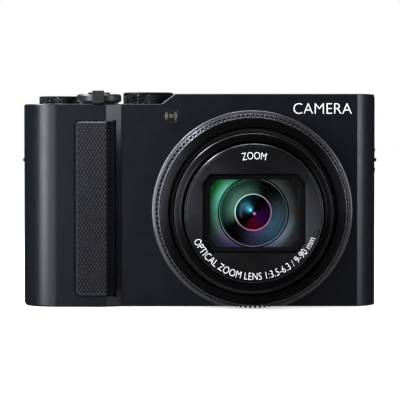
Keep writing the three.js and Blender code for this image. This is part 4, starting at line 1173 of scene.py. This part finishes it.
def make_mode_dial():
    face = 66.98
    below = [(AXLE, 63.25), (7.5, 63.25), (7.8, 63.4)]
    above = [(8.0, 66.5), (7.85, 66.85), (7.5, 67.05), (7.1, 67.1), (6.95, 67.1), (6.85, face), (AXLE, face)]
    knurled_dial("mode_dial_fine", MODE_DIAL, 8.06, 63.65, 66.35, 0.15, below, above)
    marks = ["P", "A", "S", "M", "1", "2", "3", "AUTO"]
    for i, mark in enumerate(marks):
        size = (0, 1.3) if len(mark) == 1 else (2.6, 0.9)
        angle = TAU * i / len(marks) - math.pi / 2
        flat_letters(f"mode_dial_mark_{i + 1}", mark, size, "mode_dial", MODE_DIAL, face, 5.0, angle)
    shaft = cylinder_bmesh(MODE_DIAL, 2.5, "Z", 59.3, 64)
    hard_piece("mode_dial_shaft", shaft, 0.1, body="mode_dial", slot="steel")


def make_control_dial():
    below = [(AXLE, 63.4), (6.3, 63.4)]
    above = [(6.45, 65.75), (6.2, 65.9), (5.8, 65.95), (5.6, 65.8), (AXLE, 65.7)]
    knurled_dial("control_dial_fine", CONTROL_DIAL, 6.55, 63.6, 65.5, 0.13, below, above)
    rings = [(5.2 - 0.2 * i, 65.72 + 0.05 * (i % 2)) for i in range(6)]
    placing = {"body": "control_dial", "slot": "dial", "material": DIAL_FACE}
    lathe("control_dial_rings", [*rings, (4.2, 65.6), (5.2, 65.6)], CONTROL_DIAL, "Z", 96, **placing)


def make_lever():
    lathe("zoom_lever_fine", [
        (3.8, 59.4), (4.8, 59.4), (4.8, 63.42), (6.0, 63.42, 0.1), (6.3, 63.9, 0.1), (6.7, 64.0, 0.1),
        (7.0, 64.3, 0.2), (7.0, 65.9, 0.3), (6.5, 66.4, 0.3), (4.3, 66.4, 0.2), (3.8, 66.0, 0.1),
    ], LEVER, "Z", 128, 4, material=LEVER_COAT)
    x, y = LEVER
    outline = [(x - 1.75, 63.5, 0.4), (x + 1.75, 63.5, 0.4), (x + 1.85, 67.45, 0.35), (x - 1.85, 67.45, 0.35)]
    tab = prism_bmesh(filleted(outline), "Y", -17.5, y - 6.2)
    fronts = [-17.1 + 0.52 * i for i in range(5)]
    grooves = [block_bmesh((x - 3, front, 67.22), (x + 3, front + 0.22, 69)) for front in fronts]
    placing = {"body": "zoom_lever", "slot": "button", "material": LEVER_COAT}
    hard_piece("zoom_lever_tab", carved(tab, grooves), 0.12, 3, **placing)
    lathe("shutter_button_fine", [
        (AXLE, 66.62), (1.2, 66.66), (2.2, 66.78), (2.8, 66.92), (3.1, 66.99), (3.3, 66.97), (3.42, 66.85),
        (3.45, 66.6), (3.45, 63.2), (2.0, 63.2), (2.0, 58.0), (AXLE, 58.0),
    ], LEVER, "Z", 96)


def make_small_controls():
    lathe("movie_button_fine", [
        (AXLE, 63.7), (1.6, 63.72), (2.0, 63.85), (2.2, 63.88), (2.3, 63.7),
        (2.3, 61.2), (3.1, 61.2), (3.1, 60.5), (AXLE, 60.5),
    ], MOVIE, "Z", 64)
    dot = [(AXLE, 63.68), (0.75, 63.68), (0.7, 63.78), (AXLE, 63.78)]
    lathe("movie_button_dot", dot, MOVIE, "Z", 40, body="movie_button", slot="button", material=RED_INK)

    x, y = POWER[0] - 1.5, POWER[1]
    knob = block_bmesh((x - 2.1, y - 1.5, 60.5), (x + 2.1, y + 1.5, 64.6), 1.2)
    sides = [x - 1.2 + 0.6 * i for i in range(4)]
    grooves = [block_bmesh((side, y - 3, 64.4), (side + 0.25, y + 3, 66)) for side in sides]
    flange = block_bmesh((x - 3.3, y - 2.4, 60.4), (x + 3.3, y + 2.4, 61.2), 0.5)
    hard_piece("power_switch_fine", carved(carved(knob, grooves), [flange], "UNION"))


def make_flash():
    """The pop-up head: a wedge with a rounded hinge edge and a ribbed window underneath."""
    section = [
        (-2.5, 66.5, 0.2), (-10.9, 66.5, 0.35), (-10.9, 62.0, 0.3), (-3.5, 62.0, 0.4),
        (-2.5, 63.5, 0.4), (-1.2, 64.4, 0.5), (-1.0, 65.6, 0.8), (-1.6, 66.5, 0.5),
    ]
    tools = [
        block_bmesh((24.8, -10.0, 60), (43.2, -3.9, 63.1), 0.3),
        cylinder_bmesh((-2.5, 65.0), 0.8, "X", 10, 60, 24),
        block_bmesh((20, -3.0, 60), (21.9, 2, 64.4)),
        block_bmesh((46.1, -3.0, 60), (48, 2, 64.4)),
    ]
    hard_piece("flash_head_fine", carved(prism_bmesh(filleted(section), "X", 21, 47), tools))
    rows = []
    for i in range(73):
        x = 25 + 18 * i / 72
        rib = 62.1 + 0.16 * abs(math.sin(i * math.pi / 3))
        rows.append([(x, -9.8, 63.0), (x, -9.8, rib), (x, -4.1, rib), (x, -4.1, 63.0)])
    piece("flash_window_fine", smooth_mesh(grid_bmesh(rows, wrap_columns=True, cap_rows=True), 30))


# ==== Front details ====
def make_lamp():
    """A dark window with light arcs at its left and right, painted highlights of its curved sides, and a
    small emitter behind its skin.
    """
    lathe("af_lamp_fine", [
        (AXLE, -12.9), (2.2, -12.9), (2.24, -12.95), (2.3, -13.0), (2.5, -13.0),
        (2.58, -12.94), (2.59, -12.6), (2.0, -11.7), (AXLE, -11.7),
    ], LAMP, sides=96, material=LAMP_SKIN)
    front, rear, width = -12.97, -12.84, 0.26
    bars = [(radius, middle, half) for radius, half in ((1.72, 42), (1.2, 34)) for middle in (0, 180)]
    for i, (radius, middle, half) in enumerate(bars):
        outer = arc(LAMP, radius + width / 2, middle - half, middle + half, 14)
        inner = arc(LAMP, radius - width / 2, middle + half, middle - half, 14)
        bar = prism_bmesh([*outer, *inner], "Y", front, rear)
        hard_piece(f"af_lamp_arc_{i + 1}", bar, 0.03, slot="lamp_window")
    for i in range(4):
        x = LAMP[0] - 0.27 + 0.54 * (i % 2)
        z = LAMP[1] - 0.27 + 0.54 * (i // 2)
        die = block_bmesh((x - 0.2, front, z - 0.2), (x + 0.2, rear, z + 0.2))
        hard_piece(f"af_lamp_die_{i + 1}", die, 0.03, slot="lamp_window")


def make_front_text():
    def to_place(x, up, height):
        return 38.4 + x, FRONT - height, 61.9 + up

    letters("front_lettering", "CAMERA", (18.2, 3.3), ROOT, to_place, 0.06, 0.018)
    arc_text("lens_text_top", "ZOOM", 17.45, (7.3, 2.15), 90, 1)
    arc_text("lens_text_bottom", "OPTICAL ZOOM LENS 1:3.5-6.3 / 9-90 mm", 18.95, (44.0, 2.1), 271, -1)


# ==== Rear, sides and underside ====
BUTTON_MARKS = {"display_button": "i", "delete_button": "x", "finder_button": "o", "lock_button": "+"}
PAD_RIBS = 48
DIOPTER_RIBS = 28


def round_button(name, centre, radius):
    """A button on the back whose face has a soft rim and a shallow dish."""
    face, rear = 15.9, 12.3
    lathe(name, [
        (AXLE, face - 0.25), (radius * 0.55, face - 0.2), (radius * 0.8, face - 0.04), (radius * 0.88, face),
        (radius * 0.95, face - 0.06), (radius, face - 0.3), (radius, rear), (AXLE, rear),
    ], centre, sides=64)


def rear_letters(name, text, size, centre, y, body):
    def to_place(x, up, height):
        return centre[0] - x, y + height, centre[1] + up

    letters(name, text, size, body, to_place)


def rear_sign(name, body, corners, low, high):
    """A small raised white shape."""
    sign = prism_bmesh(corners, "Y", low, high)
    hard_piece(name, sign, 0.02, body=body, slot="black_plastic", material=WHITE_INK)


def pad_ribs(r, along, angle):
    if r > 8.5 and along > 12.6:
        return r - 0.14 * (0.5 - 0.5 * math.cos(PAD_RIBS * angle))
    return r


def diopter_ribs(r, along, angle):
    if r > 2.4 and along > 12.8:
        return r - 0.15 * (0.5 - 0.5 * math.cos(DIOPTER_RIBS * angle))
    return r


def make_rear_buttons():
    for name, (x, z, r) in REAR_BUTTONS.items():
        round_button(f"{name}_fine", (x, z), r)
    for name, mark in BUTTON_MARKS.items():
        rear_letters(f"{name}_mark", mark, (0, 1.4), REAR_BUTTONS[name], 15.68, name)
    x, z, _ = REAR_BUTTONS["play_button"]
    corners = [(x + 0.8, z + 0.9), (x + 0.8, z - 0.9), (x - 0.9, z)]
    rear_sign("play_button_mark", "play_button", corners, 15.6, 15.74)


def make_cursor_pad():
    lathe("cursor_pad_fine", [
        (3.9, 15.6, 0.1), (5.2, 15.55, 0.5), (6.8, 15.95, 0.4), (8.1, 16.0, 0.3), (8.6, 15.5, 0.2),
        (8.6, 12.7), (8.6, 12.3), (3.9, 12.3),
    ], PAD, sides=PAD_RIBS * 8, shape=pad_ribs)
    for i in range(4):
        angle = math.pi / 2 * i
        tip = Vector((math.cos(angle), math.sin(angle)))
        side = Vector((-tip.y, tip.x)) * 0.7
        foot = Vector(PAD) + tip * 6.6
        corners = [Vector(PAD) + tip * 7.4, foot + side, foot - side]
        rear_sign(f"cursor_pad_arrow_{i + 1}", "cursor_pad", corners, 15.7, 15.98)
    lathe("set_button_fine", [
        (AXLE, 16.0), (2.0, 16.05), (2.9, 16.18), (3.2, 16.15), (3.4, 15.9),
        (3.4, 12.4), (1.0, 12.4), (1.0, 11.4), (AXLE, 11.4),
    ], PAD, sides=64)
    rear_letters("set_button_mark", "OK", (2.2, 1.2), PAD, 16.05, "set_button")


def make_finder():
    """The eyecup's soft ring and the dial beside it."""
    rows = []
    for inset, y in (
        (0, 15.3), (0, 19.2), (0.15, 19.7), (0.5, 19.98), (0.95, 20.0),
        (1.5, 19.85), (2.2, 19.2), (2.7, 17.5), (2.9, 15.3),
    ):
        half = Vector((8.5 - inset, 5.5 - inset * 0.66))
        ring = rectangle(Vector(FINDER) - half, Vector(FINDER) + half, max(2.6 - inset * 0.4, 0.6), 6)
        rows.append([(spot.x, y, spot.y) for spot in ring])
    piece("eyecup_fine", smooth_mesh(grid_bmesh(rows, wrap_rows=True, wrap_columns=True), 40))
    profile = [(AXLE, 16.1), (1.9, 16.15), (2.3, 16.05), (2.5, 15.8), (2.5, 12.2), (AXLE, 12.2)]
    lathe("diopter_dial_fine", profile, DIOPTER, sides=DIOPTER_RIBS * 8, shape=diopter_ribs)


def make_rear():
    hard_piece("lcd_window_fine", block_bmesh(SCREEN_LOW, SCREEN_HIGH, 0.45, "Y"), 0.25, 3)
    make_rear_buttons()
    make_cursor_pad()
    make_finder()


def make_sides():
    for side, name, edge in ((-1, "strap_eyelet_right", LEFT), (1, "strap_eyelet_left", RIGHT)):
        inner, outside = edge - side * 3.35, edge + side * 2
        low, high = sorted((edge + side * 0.5, inner))
        cup = block_bmesh((low, 1.2, 42), (high, 7.8, 49.5), 0.8, "X")
        low, high = sorted((outside, inner + side * 0.5))
        hollow = block_bmesh((low, 1.9, 42.7), (high, 7.1, 48.8), 0.6, "X")
        low, high = sorted((outside, edge + side * 0.05))
        notch = block_bmesh((low, -5, 43.1), (high, 15, 48.4), 0.3, "Y")
        bar = cylinder_bmesh((edge + side * 0.3, 45.75), 0.62, "Y", 1.5, 7.5, 32)
        hard_piece(f"{name}_fine", carved(carved(cup, [hollow, notch]), [bar], "UNION"), 0.12)

    door = block_bmesh((LEFT, 0.42, 14), (LEFT + 1.2, 8.8, 34), 0.5, "X")
    grip = block_bmesh((LEFT - 1, 8.1, 22), (LEFT + 0.45, 9.5, 26), 0.2, "X")
    hard_piece("port_door_fine", carved(door, [grip]), 0.2, 3)


SOCKET = (-5.6, -1)
BASE_SCREWS = [(4, 9.5), (46, 9.5), (46, -6), (0, -9.5)]


def make_base():
    plan = [*body_path_front(WALL + SPLIT), *body_path_rear(WALL + SPLIT)]
    door_hole = block_bmesh((-51.05, -9.45, -5), (-11.8, 9.45, 5), 0.5)
    tools = [door_hole, cylinder_bmesh(SOCKET, 4.65, "Z", -5, 5)]
    tools += [cylinder_bmesh(spot, 1.7, "Z", -5, 0.55, 32) for spot in BASE_SCREWS]
    hard_piece("bottom_cover_fine", carved(prism_bmesh(plan, "Z", 0.05, 1.5), tools), 0.12)
    for i, (x, y) in enumerate(BASE_SCREWS):
        head = cylinder_bmesh((x, y), 1.5, "Z", 0.25, 1.2, 32)
        halves = ((0.9, 0.15), (0.15, 0.9))
        slots = [block_bmesh((x - wide, y - deep, 0), (x + wide, y + deep, 0.7)) for wide, deep in halves]
        hard_piece(f"base_screw_{i + 1}", carved(head, slots), 0.06, slot="steel")


def make_battery_door():
    door = block_bmesh((-50.9, -9.3, 0.02), (-12.1, 9.3, 1.5), 0.5)
    slot = block_bmesh((-49.9, -2.3, -1), (-41.8, 2.3, 3), 0.3)
    hard_piece("battery_door_fine", carved(door, [slot]), 0.2)
    latch = block_bmesh((-49.6, -2, 0.15), (-44.6, 2, 1.8), 0.4)
    ridges = [block_bmesh((-48.8 + 0.9 * i, -3, 0), (-48.4 + 0.9 * i, 3, 0.35)) for i in range(4)]
    lip = block_bmesh((-50.5, -3.2, 1.8), (-43.4, 3.2, 2.6), 0.4)
    hard_piece("battery_door_latch_fine", carved(carved(latch, ridges), [lip], "UNION"), 0.08)


def make_tripod_socket():
    rows = [(4.5, 0.0, 0.1), (4.5, 1.8), (5.6, 1.8), (5.6, 2.8), (4.5, 2.8), (4.5, 7.0, 0.2)]
    rows += [(AXLE, 7.0), (AXLE, 6.5)]
    for i in range(0, 20, 2):
        rows += [(3.2, 6.5 - 0.32 * i), (3.05, 6.5 - 0.32 * (i + 1))]
    lathe("tripod_socket_fine", [*rows, (3.3, 0.0)], SOCKET, "Z", 96, 2)


# ==== CAD nodes that stay ====
def paint_cad_nodes():
    """Gives every CAD node its slot's material; those with a finer piece are hidden anyway."""
    for name, node in NODES.items():
        flat_blade = name.startswith(("barrier_blade", "barrier_leaf"))
        material = BLADE_COAT if flat_blade else MATERIALS[SLOT_OF[name]]
        count = max(len(node.data.materials), 1)
        node.data.materials.clear()
        for _ in range(count):
            node.data.materials.append(material)


# ==== Camera, light and surroundings ====
COOL = (0.96, 0.985, 1.06)
FLOOR_HALF = 4000 * MM
FLOOR_DROP = 0.02 * MM
REFLECTED_GREY = 0.02
DIFFUSE_GREY = 1.15
SEEN_GREY = 1.0
CAMERA_DISTANCE = 800.0
CAMERA_ELEVATION = 1.5
SENSOR = 36.0
VIEW_WIDTH = 125.1
AIM = Vector((0.1, FRONT, 33.3))


def area_light(name, spot, target, size, power, lit=None):
    """A soft cool light that shines on everything, or on a collection of lit pieces."""
    data = bpy.data.lights.new(name, "AREA")
    data.shape = "RECTANGLE"
    data.size, data.size_y = (side * MM for side in size)
    data.energy = power
    data.color = COOL
    made = bpy.data.objects.new(name, data)
    made.location = Vector(spot) * MM
    made.rotation_euler = (Vector(target) - Vector(spot)).to_track_quat("-Z", "Y").to_euler()
    bpy.context.scene.collection.objects.link(made)
    if lit:
        made.light_linking.receiver_collection = lit


def make_stage():
    bm = bmesh.new()
    corners = [(-1, -1), (1, -1), (1, 1), (-1, 1)]
    bm.faces.new([bm.verts.new((x * FLOOR_HALF, y * FLOOR_HALF, -FLOOR_DROP)) for x, y in corners])
    floor = scratch_object(bm)
    floor.name = floor.data.name = "floor"
    shader = Shader("pale_floor", (0.93, 0.93, 0.93), 0.6, Specular_IOR_Level=0.1, Emission_Strength=0.5)
    shader.surface({"Emission Color": (1, 1, 1, 1)})
    shader.vary_roughness(60, 0.02)
    floor.data.materials.append(shader.material)
    floor.visible_glossy = False


def make_world():
    """White to the camera and to diffuse surfaces, dark in reflections so that the lights draw the shape."""
    world = bpy.data.worlds.new("studio")
    bpy.context.scene.world = world
    world.use_nodes = True
    tree = world.node_tree
    path = shader_node(tree, "LightPath").outputs
    reflected, diffuse, seen = ((grey, grey, grey, 1) for grey in (REFLECTED_GREY, DIFFUSE_GREY, SEEN_GREY))
    colour = mixed(tree, path["Is Diffuse Ray"], reflected, diffuse)
    colour = mixed(tree, path["Is Camera Ray"], colour, seen)
    feed(tree, tree.nodes["Background"], {"Color": colour})


def make_camera():
    data = bpy.data.cameras.new("camera")
    data.sensor_width = SENSOR
    data.lens = SENSOR * CAMERA_DISTANCE / VIEW_WIDTH
    data.clip_start = 0.01
    data.clip_end = 50
    made = bpy.data.objects.new("camera", data)
    tilt = math.radians(CAMERA_ELEVATION)
    back = Vector((0, -math.cos(tilt), math.sin(tilt)))
    made.location = (AIM + back * CAMERA_DISTANCE) * MM
    made.rotation_euler = (-back).to_track_quat("-Z", "Y").to_euler()
    bpy.context.scene.collection.objects.link(made)
    bpy.context.scene.camera = made


def make_lights():
    middle = (0, -10, 32)
    area_light("left_strip", (-286, -230, 130), middle, (150, 300), 1.2)
    area_light("front_card", (-300, -700, 60), middle, (260, 300), 0.6)
    area_light("right_strip", (620, -260, 205), middle, (200, 420), 1.7)
    area_light("overhead", (0, 70, 560), middle, (300, 100), 1.4)
    area_light("ramp_card", (-330, 60, 470), middle, (260, 110), 4.0)


REAR_PIECES = [
    "rear_casing_fine", "thumb_rest_rubber", "lcd_window_fine", "cursor_pad_fine", "set_button_fine",
    "eyecup_fine", "diopter_dial_fine", "port_door_fine", *(f"{name}_fine" for name in REAR_BUTTONS),
]


def lit_pieces(name, pieces):
    """A collection of the pieces that some lights are kept to."""
    made = bpy.data.collections.new(name)
    for piece_name in pieces:
        made.objects.link(bpy.data.objects[piece_name])
    return made


def make_rear_lights():
    """Lights kept to the back, so that they draw no line along the front's outline."""
    back = lit_pieces("back_pieces", REAR_PIECES)
    back_and_top = lit_pieces("back_and_top_pieces", [*REAR_PIECES, "top_cover_fine"])
    middle = (0, 10, 32)
    area_light("rear_left_strip", (-430, 470, 240), middle, (160, 420), 5.0, back_and_top)
    area_light("rear_right_strip", (430, 520, 260), middle, (160, 420), 5.0, back_and_top)
    area_light("rear_card", (-240, 620, 270), middle, (300, 260), 2.5, back)


def make_grip_light():
    """A small light kept to the grip's rubber, which brings out its upper lip and its diamonds."""
    lit = lit_pieces("grip_pieces", ["grip_rubber_fine"])
    area_light("grip_light", (-42, -140, 175), (-34, -20, 45), (60, 30), 1.1, lit)


make_camera()
make_world()
make_lights()
make_stage()
paint_cad_nodes()
make_front_casing()
make_rear_casing()
make_thumb_rest()
make_top_cover()
make_grip_rubber()
make_collar()
make_control_ring()
make_barrels()
make_name_ring()
make_glass()
make_mode_dial()
make_control_dial()
make_lever()
make_small_controls()
make_flash()
make_lamp()
make_front_text()
make_rear()
make_sides()
make_base()
make_battery_door()
make_tripod_socket()
make_rear_lights()
make_grip_light()

bpy.context.scene.view_settings.view_transform = "Standard"
bpy.context.scene.view_settings.look = "None"

bpy.context.view_layer.update()
